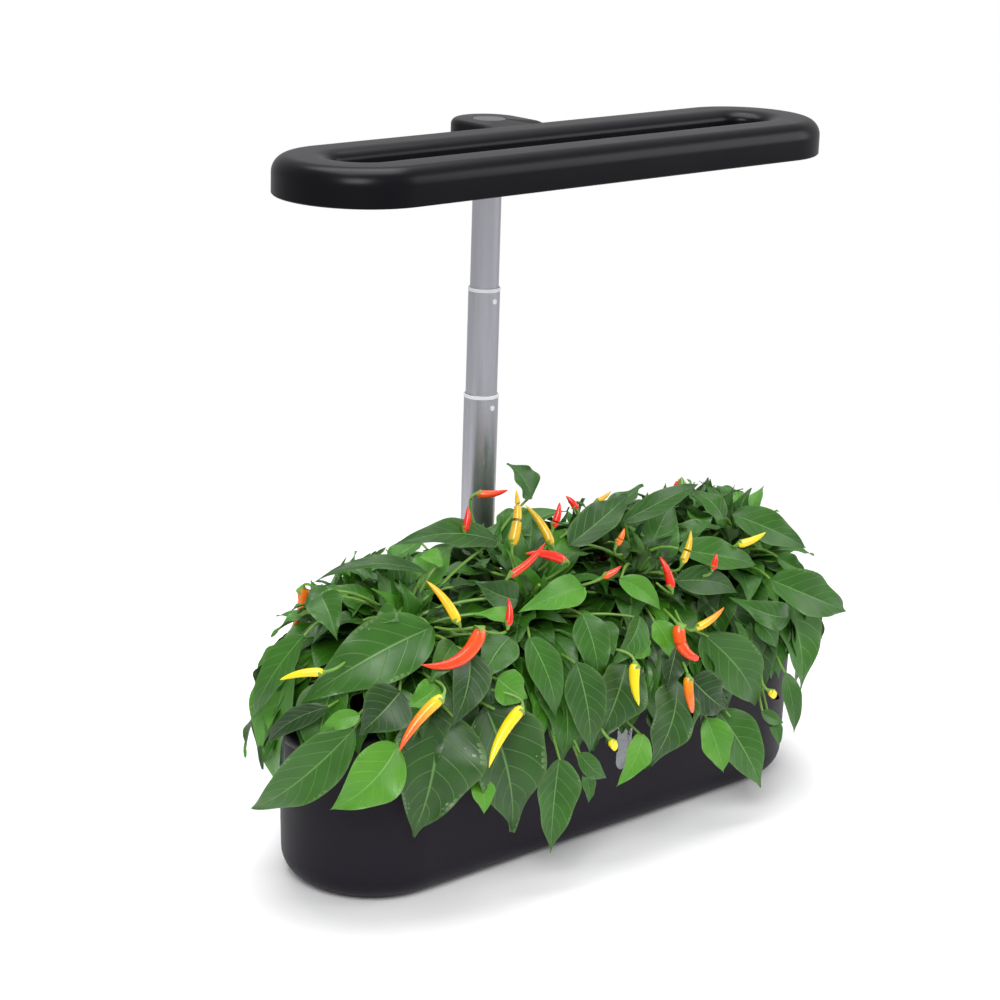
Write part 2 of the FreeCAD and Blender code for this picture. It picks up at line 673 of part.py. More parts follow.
def draw_arm(sketch):
    """A tongue with straight sides and a round end about the pole."""
    start, end = number(ARM_START), number("pole_y")
    radius = number("arm_radius")
    left, right = Vector(-radius, start, 0), Vector(radius, start, 0)
    first = sketch.addGeometry(Part.LineSegment(left, right))
    second = sketch.addGeometry(Part.LineSegment(right, Vector(radius, end, 0)))
    third = sketch.addGeometry(Part.ArcOfCircle(
        Part.Circle(Vector(0, end, 0), Vector(0, 0, 1), radius), 0, math.pi))
    last = sketch.addGeometry(Part.LineSegment(Vector(-radius, end, 0), left))
    sketch.addConstraint(Sketcher.Constraint("Coincident", first, 2, second, 1))
    sketch.addConstraint(Sketcher.Constraint("Tangent", second, 2, third, 1))
    sketch.addConstraint(Sketcher.Constraint("Tangent", third, 2, last, 1))
    sketch.addConstraint(Sketcher.Constraint("Coincident", last, 2, first, 1))
    sketch.addConstraint(Sketcher.Constraint("Horizontal", first))
    sketch.addConstraint(Sketcher.Constraint("Vertical", second))
    sketch.addConstraint(Sketcher.Constraint("PointOnObject", third, 3, -2))
    hold(sketch, "arm_side", Sketcher.Constraint("Radius", third, radius), "arm_radius")
    hold(sketch, "arm_end", Sketcher.Constraint("DistanceY", -1, 1, third, 3, end), "pole_y")
    hold(sketch, "arm_start", Sketcher.Constraint("DistanceY", -1, 1, first, 1, start), ARM_START)


def make_lamp_inside():
    diffuser = new_body("lamp_diffuser")
    pad(diffuser, ring_sketch(diffuser, "diffuser_ring", "lamp_bottom", "lamp_wall + fit_gap"), "diffuser_thick")
    board = new_body("led_board")
    level = "lamp_bottom + lamp_cavity - board_thick"
    pad(board, ring_sketch(board, "board_ring", level, "lamp_wall + board_margin"), "board_thick")
    chips = []
    count = SIZES["chip_count"]
    for side in (-1, 1):
        for step in range(count):
            x = "(%d - (chip_count - 1) / 2) * (lamp_length - lamp_width) / (chip_count - 1)" % step
            y = "lamp_y + %d * (lamp_width - lamp_tube) / 2 - chip_size / 2" % side
            chips.append(solid("Box", "led_chip", (x + " - chip_size / 2", y, level + " - chip_thick"),
                               Length="chip_size", Width="chip_size", Height="chip_thick"))
    return [diffuser, board, join("led_chips", *chips)]


def make_arm_inside():
    plate = solid("Cylinder", "arm_plate", ("0", "pole_y", "arm_bottom"),
                  Radius="arm_cavity_radius - fit_gap", Height="arm_cover_thick")
    hole = solid("Cylinder", "arm_plate_hole", ("0", "pole_y", "arm_bottom"), Radius="top_tube_radius",
                 Height="arm_cover_thick")
    cover = cut("arm_cover", plate, hole)
    board = cut("control_board",
                solid("Cylinder", "control_disc", ("0", "pole_y", "arm_bottom + arm_cavity - 2 * board_thick"),
                      Radius="arm_cavity_radius - 2 * fit_gap", Height="board_thick"),
                solid("Cylinder", "control_hole", ("0", "pole_y", "arm_bottom"),
                      Radius="top_tube_radius + fit_gap", Height="arm_cavity"))
    touch = solid("Cylinder", "touch_panel", ("0", "pole_y", "arm_top - touch_thick"), Radius="touch_radius",
                  Height="touch_thick")
    return [cover, board, touch]


# Chilli plants

def cell_of(column, sign):
    """The room that one plant fills: its share of the deck and the overhang at the outer sides."""
    columns = int(SIZES["pod_count_long"])
    pitch = SIZES["pod_pitch_long"]
    gap = SIZES["plant_gap"] / 2
    x = (column - (columns - 1) / 2) * pitch
    y = (-0.5 if sign else 0.5) * SIZES["pod_pitch_wide"]
    low_x = x - pitch / 2 + gap
    high_x = x + pitch / 2 - gap
    side = SIZES["rim_length"] / 2 + SIZES["canopy_overhang_side"]
    if column == 0:
        low_x = -side
    if column == columns - 1:
        high_x = side
    front = SIZES["rim_width"] / 2 + SIZES["canopy_overhang_front"]
    if sign:
        return x, y, low_x, high_x, -front, -gap
    back = SIZES["pole_y"] - SIZES["lower_tube_radius"] - 2 * SIZES["leaf_thick"]
    if column in (0, columns - 1):
        back = SIZES["rim_width"] / 2 + SIZES["canopy_overhang_back"]
    return x, y, low_x, high_x, gap, back


def spike(start, end, wide, narrow, sides=6):
    """A tapered, faceted shaft between two points, for a stem, a stalk or a fruit."""
    ahead = end - start
    across = ahead.cross(Vector(1, 0, 0) if abs(ahead.x) < 0.7 * ahead.Length else Vector(0, 1, 0))
    across.normalize()
    rings = []
    for point, radius in ((start, wide), (end, narrow)):
        spin = [Rotation(ahead, 360.0 * k / sides).multVec(across) for k in range(sides)]
        rings.append(Part.makePolygon([point + arm * radius for arm in spin + spin[:1]]))
    return Part.makeLoft(rings, True, True)


def clamp(value, low, high):
    return max(low, min(high, value))


def reach_to_side(x, y, across, along, cell):
    """How far a leaf can run from the stem in a direction before it leaves the plant's room."""
    _, _, low_x, high_x, low_y, high_y = cell
    far = 1e9
    if across:
        far = min(far, ((high_x if across > 0 else low_x) - x) / across)
    if along:
        far = min(far, ((high_y if along > 0 else low_y) - y) / along)
    return far


def leaf_solid(spine, widths, side, cell):
    """A thin leaf with a folded midrib: three points wide at each station, ending in a point."""
    thick = SIZES["leaf_thick"]
    tops, bottoms = [], []
    _, _, low_x, high_x, low_y, high_y = cell
    for point, wide in zip(spine[:-1], widths):
        row = []
        for step in (-1, 0, 1):
            spot = point + side * (step * wide) + Vector(0, 0, abs(step) * wide * LEAF_FOLD)
            row.append(Vector(clamp(spot.x, low_x, high_x), clamp(spot.y, low_y, high_y), spot.z))
        tops.append(row)
        bottoms.append([spot - Vector(0, 0, thick) for spot in row])
    tip = spine[-1]
    faces = []

    def face(*points):
        faces.append(Part.Face(Part.makePolygon(list(points) + [points[0]])))

    def strip(one, two, flip):
        for k in range(len(one) - 1):
            first, second = (one[k], two[k], two[k + 1]), (one[k], two[k + 1], one[k + 1])
            for trio in (first, second):
                face(*(reversed(trio) if flip else trio))

    for k in range(len(tops) - 1):
        strip(tops[k], tops[k + 1], False)
        strip(bottoms[k], bottoms[k + 1], True)
        for edge in (0, 2):
            strip([tops[k][edge], bottoms[k][edge]], [tops[k + 1][edge], bottoms[k + 1][edge]], edge == 0)
    strip(tops[0], bottoms[0], True)
    for k in range(2):
        face(tops[-1][k], tip, tops[-1][k + 1])
        face(bottoms[-1][k], bottoms[-1][k + 1], tip)
    for edge in (0, 2):
        face(tops[-1][edge], bottoms[-1][edge], tip)
    shell = Part.Shell(faces)
    body = Part.Solid(shell)
    if body.Volume < 0:
        body.reverse()
    return body


# Height on the stem, leaves in the whorl, share of the full reach and rise of each level of leaves.
LEAF_LEVELS = ((0.24, 6, 1.0, 0.14), (0.47, 6, 0.96, 0.36), (0.68, 5, 0.78, 0.55), (0.88, 5, 0.56, 0.70))
LEAF_STATIONS = (0.0, 0.26, 0.55, 0.82, 1.0)
LEAF_FOLD = 0.16
LEAF_STEP_UP = 0.025
FIRST_TURN = 37.0
BACK_ROW_TURN = 61.0
LEVEL_TURN = 29.0


def leaf_plan(column, sign):
    """Each leaf's height on the stem, heading, share of the full reach and rise."""
    plans = []
    turn = FIRST_TURN * column + (0 if sign else BACK_ROW_TURN)
    for level, (height, leaves, share, rise) in enumerate(LEAF_LEVELS):
        for step in range(leaves):
            heading = turn + 360.0 * step / leaves + LEVEL_TURN * level
            plans.append((height + LEAF_STEP_UP * step, heading, share, rise))
    return plans


def beside_middle(x, y):
    """Plan distance from the tank's middle line, which ends where its round ends begin."""
    straight = (SIZES["rim_length"] - SIZES["rim_width"]) / 2
    return math.hypot(max(abs(x) - straight, 0.0), y)


def clear_of_deck(spot, deck_top):
    """Lift a leaf's point over the deck, or hang it outside the rim."""
    inner = SIZES["rim_width"] / 2 + SIZES["leaf_over_deck"]
    over_deck = beside_middle(spot.x, spot.y) < inner
    lowest = deck_top + SIZES["leaf_over_deck"] if over_deck else SIZES["leaf_lowest"]
    return Vector(spot.x, spot.y, max(spot.z, lowest))


def make_leaf(cell, deck_top, stem_top, plan):
    """A leaf rises from the stem, arches and hangs; one that meets its room's side rises more instead."""
    height, heading, share, rise = plan
    x, y = cell[0], cell[1]
    across, along = math.cos(math.radians(heading)), math.sin(math.radians(heading))
    base = Vector(x, y, deck_top + height * (stem_top - deck_top))
    full = SIZES["leaf_reach"] * share
    reach = min(full, reach_to_side(x, y, across, along, cell) - 2 * SIZES["leaf_thick"])
    spare = math.sqrt(max(full * full - reach * reach, 0.0))
    lift = 0.5 * rise * full + 0.36 * spare
    outer = beside_middle(x + across * reach, y + along * reach) > SIZES["rim_width"] / 2
    drop = (0.5 + 0.55 * share) * reach if outer else 0.25 * reach
    spine = []
    for s in LEAF_STATIONS:
        out = reach * (s - 0.08 * s * s) / 0.92
        spot = base + Vector(across * out, along * out, lift * s * (2 - s) - drop * s ** 3)
        spine.append(clear_of_deck(spot, deck_top))
    half = SIZES["leaf_width"] / 2 * (0.5 + 0.5 * reach / SIZES["leaf_reach"])
    widths = (1.5 * SIZES["leaf_thick"], 0.5 * half, half, 0.62 * half)
    return leaf_solid(spine, widths, Vector(-along, across, 0), cell)


CHILLIES = 3
CHILLI_HEIGHT = 0.8


def make_chilli(cell, deck_top, stem_top, step):
    """A tapered fruit that hangs from the stem by a thin stalk."""
    x, y = cell[0], cell[1]
    heading = math.radians(FIRST_TURN + 360.0 * step / CHILLIES + LEVEL_TURN * x / SIZES["pod_pitch_long"])
    across, along = math.cos(heading), math.sin(heading)
    reach = min(0.3 * SIZES["leaf_reach"], reach_to_side(x, y, across, along, cell) - SIZES["chilli_radius"] - 1)
    start = Vector(x, y, deck_top + CHILLI_HEIGHT * (stem_top - deck_top))
    crown = start + Vector(across * reach, along * reach, 0.2 * reach)
    stalk = spike(start, crown, SIZES["stalk_radius"], SIZES["stalk_radius"], 4)
    waist = crown - Vector(0, 0, 0.3 * SIZES["chilli_length"])
    tip = crown - Vector(-0.1 * across, -0.1 * along, 1) * SIZES["chilli_length"]
    top = spike(crown + Vector(0, 0, 0.5), waist, 0.7 * SIZES["chilli_radius"], SIZES["chilli_radius"])
    return [stalk, top, spike(waist, tip, SIZES["chilli_radius"], 0.3 * SIZES["stalk_radius"])]


def make_plant(index, column, sign):
    cell = cell_of(column, sign)
    deck_top = number(DECK_FLOOR)
    stem_top = SIZES["stem_top"]
    foot = Vector(cell[0], cell[1], deck_top)
    head = Vector(cell[0], cell[1], stem_top)
    pieces = [spike(foot, head, SIZES["stem_radius"], SIZES["stem_radius"] / 3)]
    for plan in leaf_plan(column, sign):
        pieces.append(make_leaf(cell, deck_top, stem_top, plan))
    for step in range(CHILLIES):
        pieces += make_chilli(cell, deck_top, stem_top, step)
    whole = pieces[0].multiFuse(pieces[1:])
    item = doc.addObject("Part::Feature", "chilli_plant_%d" % index)
    item.Label = item.Name
    item.Shape = whole.Solids[0] if len(whole.Solids) == 1 else whole
    return item


def make_pods():
    made = []
    for index, (column, sign) in enumerate(pod_places(), 1):
        made.append(make_basket(index, column, sign))
        made.append(make_sponge(index, column, sign))
        made.append(make_plant(index, column, sign))
    return made


def check(items):
    doc.recompute()
    for item in doc.Objects:
        if "Invalid" in item.State or "Error" in item.State:
            raise RuntimeError("failed object: " + item.Name)
    for item in items:
        if item.Shape.isNull() or not item.Shape.isValid():
            raise RuntimeError("bad shape: " + item.Label)


def export(items):
    os.makedirs("parts", exist_ok=True)
    for item in items:
        item.Shape.exportStep("parts/%s.step" % item.Label)
        box = item.Shape.BoundBox
        print("%-18s %d solids, x %.1f to %.1f, y %.1f to %.1f, z %.1f to %.1f" % (
            item.Label, len(item.Shape.Solids), box.XMin, box.XMax, box.YMin, box.YMax, box.ZMin, box.ZMax))


fill_sheet()
pieces = [make_tank()]
pieces += make_window() + make_feet() + make_deck() + make_fill_cap()
pieces += make_pump() + make_socket() + make_jack() + make_pole()
pieces += make_lamp_shell() + make_lamp_inside() + make_arm_inside()
pieces += make_pods()
check(pieces)
export(pieces)
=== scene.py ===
"""Looks of a countertop hydroponic garden.

A black tank carries a leafy chilli crop, and a ring lamp hangs over it on a telescopic pole. Every
length is in metres unless its name ends in _mm or its class says mm, and every piece lies where
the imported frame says.
"""
import json
import logging
import math
from dataclasses import dataclass
from enum import Enum
from typing import Callable, Sequence

import bmesh
import bpy
import numpy as np
from mathutils import Matrix, Vector


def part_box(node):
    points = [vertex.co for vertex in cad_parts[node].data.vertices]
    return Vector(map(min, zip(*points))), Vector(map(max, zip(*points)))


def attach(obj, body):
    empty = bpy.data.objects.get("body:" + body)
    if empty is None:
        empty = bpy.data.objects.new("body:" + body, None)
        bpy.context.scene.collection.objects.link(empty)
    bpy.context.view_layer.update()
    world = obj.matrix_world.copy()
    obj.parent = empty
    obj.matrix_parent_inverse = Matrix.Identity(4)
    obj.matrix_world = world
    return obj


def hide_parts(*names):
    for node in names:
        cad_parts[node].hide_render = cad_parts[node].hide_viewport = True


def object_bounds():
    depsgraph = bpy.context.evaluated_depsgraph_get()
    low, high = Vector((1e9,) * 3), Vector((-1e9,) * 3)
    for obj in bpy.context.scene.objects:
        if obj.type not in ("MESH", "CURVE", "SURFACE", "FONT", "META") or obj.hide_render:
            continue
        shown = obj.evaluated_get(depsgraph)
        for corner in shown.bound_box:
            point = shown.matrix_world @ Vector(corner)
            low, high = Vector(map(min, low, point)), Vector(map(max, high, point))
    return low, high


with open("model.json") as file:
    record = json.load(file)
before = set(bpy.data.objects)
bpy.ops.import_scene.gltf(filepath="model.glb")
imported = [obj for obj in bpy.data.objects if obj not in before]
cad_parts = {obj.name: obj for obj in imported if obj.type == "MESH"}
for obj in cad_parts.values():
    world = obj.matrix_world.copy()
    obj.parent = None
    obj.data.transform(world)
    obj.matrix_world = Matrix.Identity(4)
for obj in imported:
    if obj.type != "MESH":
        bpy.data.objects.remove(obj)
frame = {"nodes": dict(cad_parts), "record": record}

LOG = logging.getLogger("garden")
CAD_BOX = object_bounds()
MM = 0.001
BOX_MM = tuple(np.array(corner) / MM for corner in CAD_BOX)
PLANTS = range(1, 9)
WELD = 1e-6         # points of a CAD mesh nearer than this are one
TINY = 1e-9         # keeps a division by a length from failing
NO_LENGTH = 1e-12   # the same, along a tube
STEEP = 0.9         # the upward share from which a tube's first direction is taken off X
GOLDEN_TURN = 2.39996
FULL_TURN = 6.28

MATH, MIX, NOISE = "ShaderNodeMath", "ShaderNodeMix", "ShaderNodeTexNoise"
RGBA = {"data_type": "RGBA"}
A, B, RESULT = 6, 7, 2    # the colour inputs of such a mix, and its colour output
SIDE_VEINS = 7.5    # side veins on a leaf, from heel to tip
VEIN_LEAN = 0.25    # how far towards the tip a side vein ends, as a share of the leaf
VEIN_CURVE = 1.25   # the power that bends it

Array = np.ndarray
Colour = tuple[float, float, float, float]
Node, Socket = bpy.types.Node, bpy.types.NodeSocket
Tree, Material = bpy.types.NodeTree, bpy.types.Material


class Body(Enum):
    """The bodies that new pieces ride on."""

    BASE = "base"
    DECK = "deck"
    MIDDLE_POLE = "middle_pole"
    LAMP = "lamp"


def srgb(code: str) -> Colour:
    """Turn an sRGB hex colour into linear light.

    The curve is the sRGB standard's: straight up to 0.04045, then a power of 2.4.

    Args:
        code: six hex digits, such as "26232a".

    Returns:
        Red, green and blue in linear light, and an alpha of 1.
    """
    parts = [int(code[k:k + 2], 16) / 255 for k in (0, 2, 4)]
    linear = [c / 12.92 if c <= 0.04045 else ((c + 0.055) / 1.055) ** 2.4 for c in parts]
    return linear[0], linear[1], linear[2], 1.0


def plug(tree: Tree, node: Node, inputs: dict) -> None:
    """Fill some inputs of a node.

    Args:
        tree: the node tree.
        node: the node whose inputs are filled.
        inputs: by input name or number, a value, a socket, or a node that gives its first output.
    """
    for name, value in inputs.items():
        source = value.outputs[0] if isinstance(value, Node) else value
        if isinstance(source, Socket):
            tree.links.new(source, node.inputs[name])
        else:
            node.inputs[name].default_value = source


def add_node(tree: Tree, kind: str, settings: dict | None = None, *inputs: object) -> Node:
    """Add one node to a tree with its settings and links.

    Args:
        tree: the node tree.
        kind: the node's Blender type.
        settings: properties of the node itself.
        inputs: what plug takes, as one dict, or in the order of the node's own inputs.

    Returns:
        The new node.
    """
    made = tree.nodes.new(kind)
    for name, value in (settings or {}).items():
        setattr(made, name, value)
    by_name = bool(inputs) and isinstance(inputs[0], dict)
    plug(tree, made, inputs[0] if by_name else dict(enumerate(inputs)))
    return made


def lumps(place: Socket, size_mm: float, detail: float = 2.0) -> dict:
    """Inputs of a noise on Object coordinates whose lumps are about size_mm across."""
    return {"Vector": place, "Scale": 1 / (size_mm * MM), "Detail": detail}


def fade_line(tree: Tree, distance: Node, half: float) -> Node:
    """Draw a line that is 1 - distance / half on its middle and beside it, and 0 further out.

    Args:
        tree: the node tree.
        distance: how far off the line's middle a point is.
        half: half the line's width.

    Returns:
        The node that holds the line's strength.
    """
    share = add_node(tree, MATH, {"operation": "DIVIDE"}, distance, half)
    rest = add_node(tree, MATH, {"operation": "SUBTRACT"}, 1.0, share)
    return add_node(tree, MATH, {"operation": "MAXIMUM"}, rest, 0.0)


def dent(tree: Tree, shader: Node, height: Node, strength: float, depth_mm: float) -> None:
    """Let a height pattern dent a shader's surface by about depth_mm."""
    bump = add_node(tree, "ShaderNodeBump", {}, {"Height": height, "Strength": strength,
                                                 "Distance": depth_mm * MM})
    plug(tree, shader, {"Normal": bump})


def start_material(name: str) -> tuple[Material, Tree, Node, Socket]:
    """Make an empty node material.

    Args:
        name: the material's name.

    Returns:
        The material, its tree, its Principled shader and its Object coordinates.
    """
    material = bpy.data.materials.new(name)
    material.use_nodes = True
    tree = material.node_tree
    place = add_node(tree, "ShaderNodeTexCoord").outputs["Object"]
    return material, tree, tree.nodes["Principled BSDF"], place


@dataclass(frozen=True)
class Moulded:
    """A moulded plastic or rubber with a spark-eroded grain.

    The grain spreads the highlight to an even sheen, and slow clouds of gloss keep wide faces from
    looking flat. The grain is drawn coarser than the real 0.1 mm so that it shows at all.
    """

    name: str
    colour: str
    worn: str
    roughness: float
    grain_mm: float = 0.5
    relief: float = 0.04
    ior: float = 1.5
    specular: float = 0.5
    cloud_mm: float = 28.0
    gloss_spread: float = 0.08
    depth_mm: float = 0.05

    def make(self) -> Material:
        """Build the node tree.

        Returns:
            The finished material.
        """
        material, tree, shader, place = start_material(self.name)
        cloud = add_node(tree, NOISE, {}, lumps(place, self.cloud_mm, 3.0))
        grain = add_node(tree, NOISE, {}, lumps(place, self.grain_mm, 1.0))
        tint = add_node(tree, MIX, RGBA, {0: cloud, A: srgb(self.colour), B: srgb(self.worn)})
        rough = add_node(tree, MATH, {"operation": "MULTIPLY_ADD"}, cloud, self.gloss_spread,
                         self.roughness - self.gloss_spread / 2)
        plug(tree, shader, {"Base Color": tint.outputs[RESULT], "Roughness": rough, "IOR": self.ior,
                            "Specular IOR Level": self.specular})
        dent(tree, shader, grain, self.relief, self.depth_mm)
        return material


@dataclass(frozen=True)
class SatinMetal:
    """Drawn and anodised aluminium.

    Fine lines along the tube pull the light out to a soft upright streak. They are drawn 0.6 mm
    wide, coarser than the real ones, so that they show.
    """

    name: str
    colour: str
    streak: str
    roughness: float
    line_mm: float = 0.6
    drawn_out: float = 0.02
    gloss_spread: float = 0.12

    def make(self) -> Material:
        """Build the node tree.

        Returns:
            The finished material.
        """
        material, tree, shader, place = start_material(self.name)
        drawn = add_node(tree, "ShaderNodeMapping", {}, {"Vector": place,
                                                         "Scale": (1.0, 1.0, self.drawn_out)})
        lines = add_node(tree, NOISE, {}, lumps(drawn.outputs[0], self.line_mm))
        tint = add_node(tree, MIX, RGBA, {0: lines, A: srgb(self.colour), B: srgb(self.streak)})
        rough = add_node(tree, MATH, {"operation": "MULTIPLY_ADD"}, lines, self.gloss_spread,
                         self.roughness - self.gloss_spread / 2)
        plug(tree, shader, {"Base Color": tint.outputs[RESULT], "Metallic": 1.0, "Roughness": rough})
        return material


@dataclass(frozen=True)
class ClearPlastic:
    """Clear moulded polycarbonate: nearly smooth, it shows and bends the dark behind it."""

    name: str
    colour: str
    roughness: float
    pale: str = "f4f7f8"
    ripple_mm: float = 9.0
    lets_through: float = 0.85
    ior: float = 1.58

    def make(self) -> Material:
        """Build the node tree.

        Returns:
            The finished material.
        """
        material, tree, shader, place = start_material(self.name)
        ripple = add_node(tree, NOISE, {}, lumps(place, self.ripple_mm, 1.0))
        tint = add_node(tree, MIX, RGBA, {0: ripple, A: srgb(self.colour), B: srgb(self.pale)})
        plug(tree, shader, {"Base Color": tint.outputs[RESULT], "IOR": self.ior,
                            "Transmission Weight": self.lets_through, "Roughness": self.roughness})
        return material


@dataclass(frozen=True)
class LeafSkin:
    """A chilli leaf: waxy dark green blade, pale raised midrib and side veins, a duller underside.

    The wax gives a broad soft sheen, which the quilting between the veins breaks up. The veins are
    drawn on the blade's own map, where u runs from stalk to tip and v across; their widths are
    shares of that map, because veins narrow with the leaf.
    """

    name: str = "chilli_leaf_waxy"
    deep: str = "123206"
    fresh: str = "3b7a14"
    bright: str = "74b02c"
    rib: str = "7fae5e"
    underside: str = "8aa878"
    margin: str = "7f9f58"
    rib_half: float = 0.045
    vein_half: float = 0.055
    vein_strength: float = 0.45
    wander: float = 0.02
    wander_mm: float = 16.0
    patch_mm: float = 22.0
    patch_spread: float = 0.5
    tone_shift: float = -0.28
    bright_from: float = 0.9
    underside_cover: float = 0.45
    vein_cover: float = 0.5
    margin_cover: float = 0.2
    margin_power: float = 14.0
    roughness: float = 0.36
    gloss_spread: float = 0.12
    gloss_mm: float = 6.0
    ior: float = 1.45
    quilt_mm: float = 9.0
    quilt_height: float = 0.6
    relief: float = 0.4
    relief_mm: float = 0.5

    def make(self) -> Material:
        """Build the node tree.

        Returns:
            The finished material.
        """
        material, tree, shader, place = start_material(self.name)
        blade = add_node(tree, "ShaderNodeUVMap", {"uv_map": "blade"})
        spot = add_node(tree, "ShaderNodeSeparateXYZ", {}, blade)
        across = add_node(tree, MATH, {"operation": "MULTIPLY_ADD"}, spot.outputs[1], 2.0, -1.0)
        off_rib = add_node(tree, MATH, {"operation": "ABSOLUTE"}, across)
        veins = self._veins(tree, place, spot.outputs[0], off_rib)
        gloss = add_node(tree, NOISE, {}, lumps(place, self.gloss_mm))
        rough = add_node(tree, MATH, {"operation": "MULTIPLY_ADD"}, gloss, self.gloss_spread,
                         self.roughness)
        plug(tree, shader, {"Base Color": self._green(tree, place, veins, off_rib),
                            "Roughness": rough, "IOR": self.ior})
        quilt = add_node(tree, NOISE, {}, lumps(place, self.quilt_mm, 1.0))
        raised = add_node(tree, MATH, {"operation": "MULTIPLY"}, quilt, self.quilt_height)
        height = add_node(tree, MATH, {"operation": "MULTIPLY_ADD"}, veins, -1.0, raised)
        dent(tree, shader, height, self.relief, self.relief_mm)
        return material

    def _veins(self, tree: Tree, place: Socket, along: Socket, off_rib: Node) -> Node:
        """Draw the midrib and the side veins.

        Side veins lie where SIDE_VEINS * (along - VEIN_LEAN * off_rib ^ VEIN_CURVE), shaken a
        little by a noise, is a whole number and a half.

        Args:
            tree: the node tree.
            place: Object coordinates.
            along: 0 at the stalk and 1 at the tip.
            off_rib: 0 on the midrib and 1 at the margin.

        Returns:
            The node that holds 1 on the midrib's middle and 0 off the veins.
        """
        bent = add_node(tree, MATH, {"operation": "POWER"}, off_rib, VEIN_CURVE)
        lean = add_node(tree, MATH, {"operation": "MULTIPLY_ADD"}, bent, -VEIN_LEAN, along)
        shake = add_node(tree, NOISE, {}, lumps(place, self.wander_mm, 1.0))
        shaken = add_node(tree, MATH, {"operation": "MULTIPLY_ADD"}, shake, self.wander, lean)
        gaps = add_node(tree, MATH, {"operation": "MULTIPLY"}, shaken, SIDE_VEINS)
        beat = add_node(tree, MATH, {"operation": "FRACT"}, gaps)
        signed = add_node(tree, MATH, {"operation": "SUBTRACT"}, beat, 0.5)
        off_vein = add_node(tree, MATH, {"operation": "ABSOLUTE"}, signed)
        vein = add_node(tree, MATH, {"operation": "MULTIPLY"},
                        fade_line(tree, off_vein, self.vein_half), self.vein_strength)
        midrib = fade_line(tree, off_rib, self.rib_half)
        return add_node(tree, MATH, {"operation": "MAXIMUM"}, midrib, vein)

    def _green(self, tree: Tree, place: Socket, veins: Node, off_rib: Node) -> Socket:
        """Lay the blade's colours over one another, each by its own cover.

        Args:
            tree: the node tree.
            place: Object coordinates.
            veins: 1 on a vein.
            off_rib: 0 on the midrib and 1 at the margin.

        Returns:
            The socket that holds the blade's colour.
        """
        tone, under = (add_node(tree, "ShaderNodeAttribute", {"attribute_name": label})
                       .outputs["Fac"] for label in ("tone", "under"))
        patch = add_node(tree, NOISE, {}, lumps(place, self.patch_mm, 3.0))
        shifted = add_node(tree, MATH, {"operation": "ADD"}, tone, self.tone_shift)
        share = add_node(tree, MATH, {"operation": "MULTIPLY_ADD"}, patch, self.patch_spread,
                         shifted)
        young = add_node(tree, MATH, {"operation": "SUBTRACT"}, share, self.bright_from)
        edge = add_node(tree, MATH, {"operation": "POWER"}, off_rib, self.margin_power)
        backed, lined, edged = (
            add_node(tree, MATH, {"operation": "MULTIPLY"}, part, cover) for part, cover in
            ((under, self.underside_cover), (veins, self.vein_cover), (edge, self.margin_cover)))
        colour = srgb(self.deep)
        for cover, code in ((share, self.fresh), (young, self.bright), (backed, self.underside),
                            (lined, self.rib), (edged, self.margin)):
            colour = add_node(tree, MIX, RGBA, {0: cover, A: colour, B: srgb(code)}).outputs[RESULT]
        return colour


@dataclass(frozen=True)
class FruitSkin:
    """Chilli fruit: thin glossy wax over flesh that ripens from ochre and yellow to orange and red.

    The wax gives a small sharp highlight along the pod over a softer one of the flesh.
    """

    name: str = "chilli_fruit_glossy"
    ramp: tuple[tuple[float, str], ...] = ((0.0, "a97a1c"), (0.25, "f5d416"), (0.6, "f4741a"),
                                           (1.0, "e02410"))
    mottle: float = 0.12
    mottle_mm: float = 7.0
    roughness: float = 0.24
    ior: float = 1.45
    wax: float = 0.3
    wax_roughness: float = 0.12
    dimple_mm: float = 5.0
    relief: float = 0.12
    relief_mm: float = 0.4

    def make(self) -> Material:
        """Build the node tree.

        Returns:
            The finished material.
        """
        material, tree, shader, place = start_material(self.name)
        ripe = add_node(tree, "ShaderNodeAttribute", {"attribute_name": "ripeness"})
        shifted = add_node(tree, MATH, {"operation": "SUBTRACT"}, ripe.outputs["Fac"],
                           self.mottle / 2)
        cloud = add_node(tree, NOISE, {}, lumps(place, self.mottle_mm))
        mottled = add_node(tree, MATH, {"operation": "MULTIPLY_ADD"}, cloud, self.mottle, shifted)
        ramp = add_node(tree, "ShaderNodeValToRGB", {}, mottled)
        band = ramp.color_ramp
        for index, (place_on_ramp, code) in enumerate(self.ramp):
            made = index < len(band.elements)
            stop = band.elements[index] if made else band.elements.new(place_on_ramp)
            stop.position = place_on_ramp
            stop.color = srgb(code)
        plug(tree, shader, {"Base Color": ramp, "Roughness": self.roughness, "IOR": self.ior,
                            "Coat Weight": self.wax, "Coat Roughness": self.wax_roughness})
        dimples = add_node(tree, NOISE, {}, lumps(place, self.dimple_mm, 1.0))
        dent(tree, shader, dimples, self.relief, self.relief_mm)
        return material


@dataclass(frozen=True)
class Stalk:
    """Fresh green stem: its fine ridges and hairs take the shine off."""

    name: str = "green_stem"
    colour: str = "7fa845"
    shade: str = "4d7a26"
    cloud_mm: float = 8.0
    ridge_mm: float = 1.2
    roughness: float = 0.5
    relief: float = 0.2
    relief_mm: float = 0.2

    def make(self) -> Material:
        """Build the node tree.

        Returns:
            The finished material.
        """
        material, tree, shader, place = start_material(self.name)
        cloud, ridges = (add_node(tree, NOISE, {}, lumps(place, size))
                         for size in (self.cloud_mm, self.ridge_mm))
        tint = add_node(tree, MIX, RGBA, {0: cloud, A: srgb(self.colour), B: srgb(self.shade)})
        plug(tree, shader, {"Base Color": tint.outputs[RESULT], "Roughness": self.roughness})
        dent(tree, shader, ridges, self.relief, self.relief_mm)
        return material


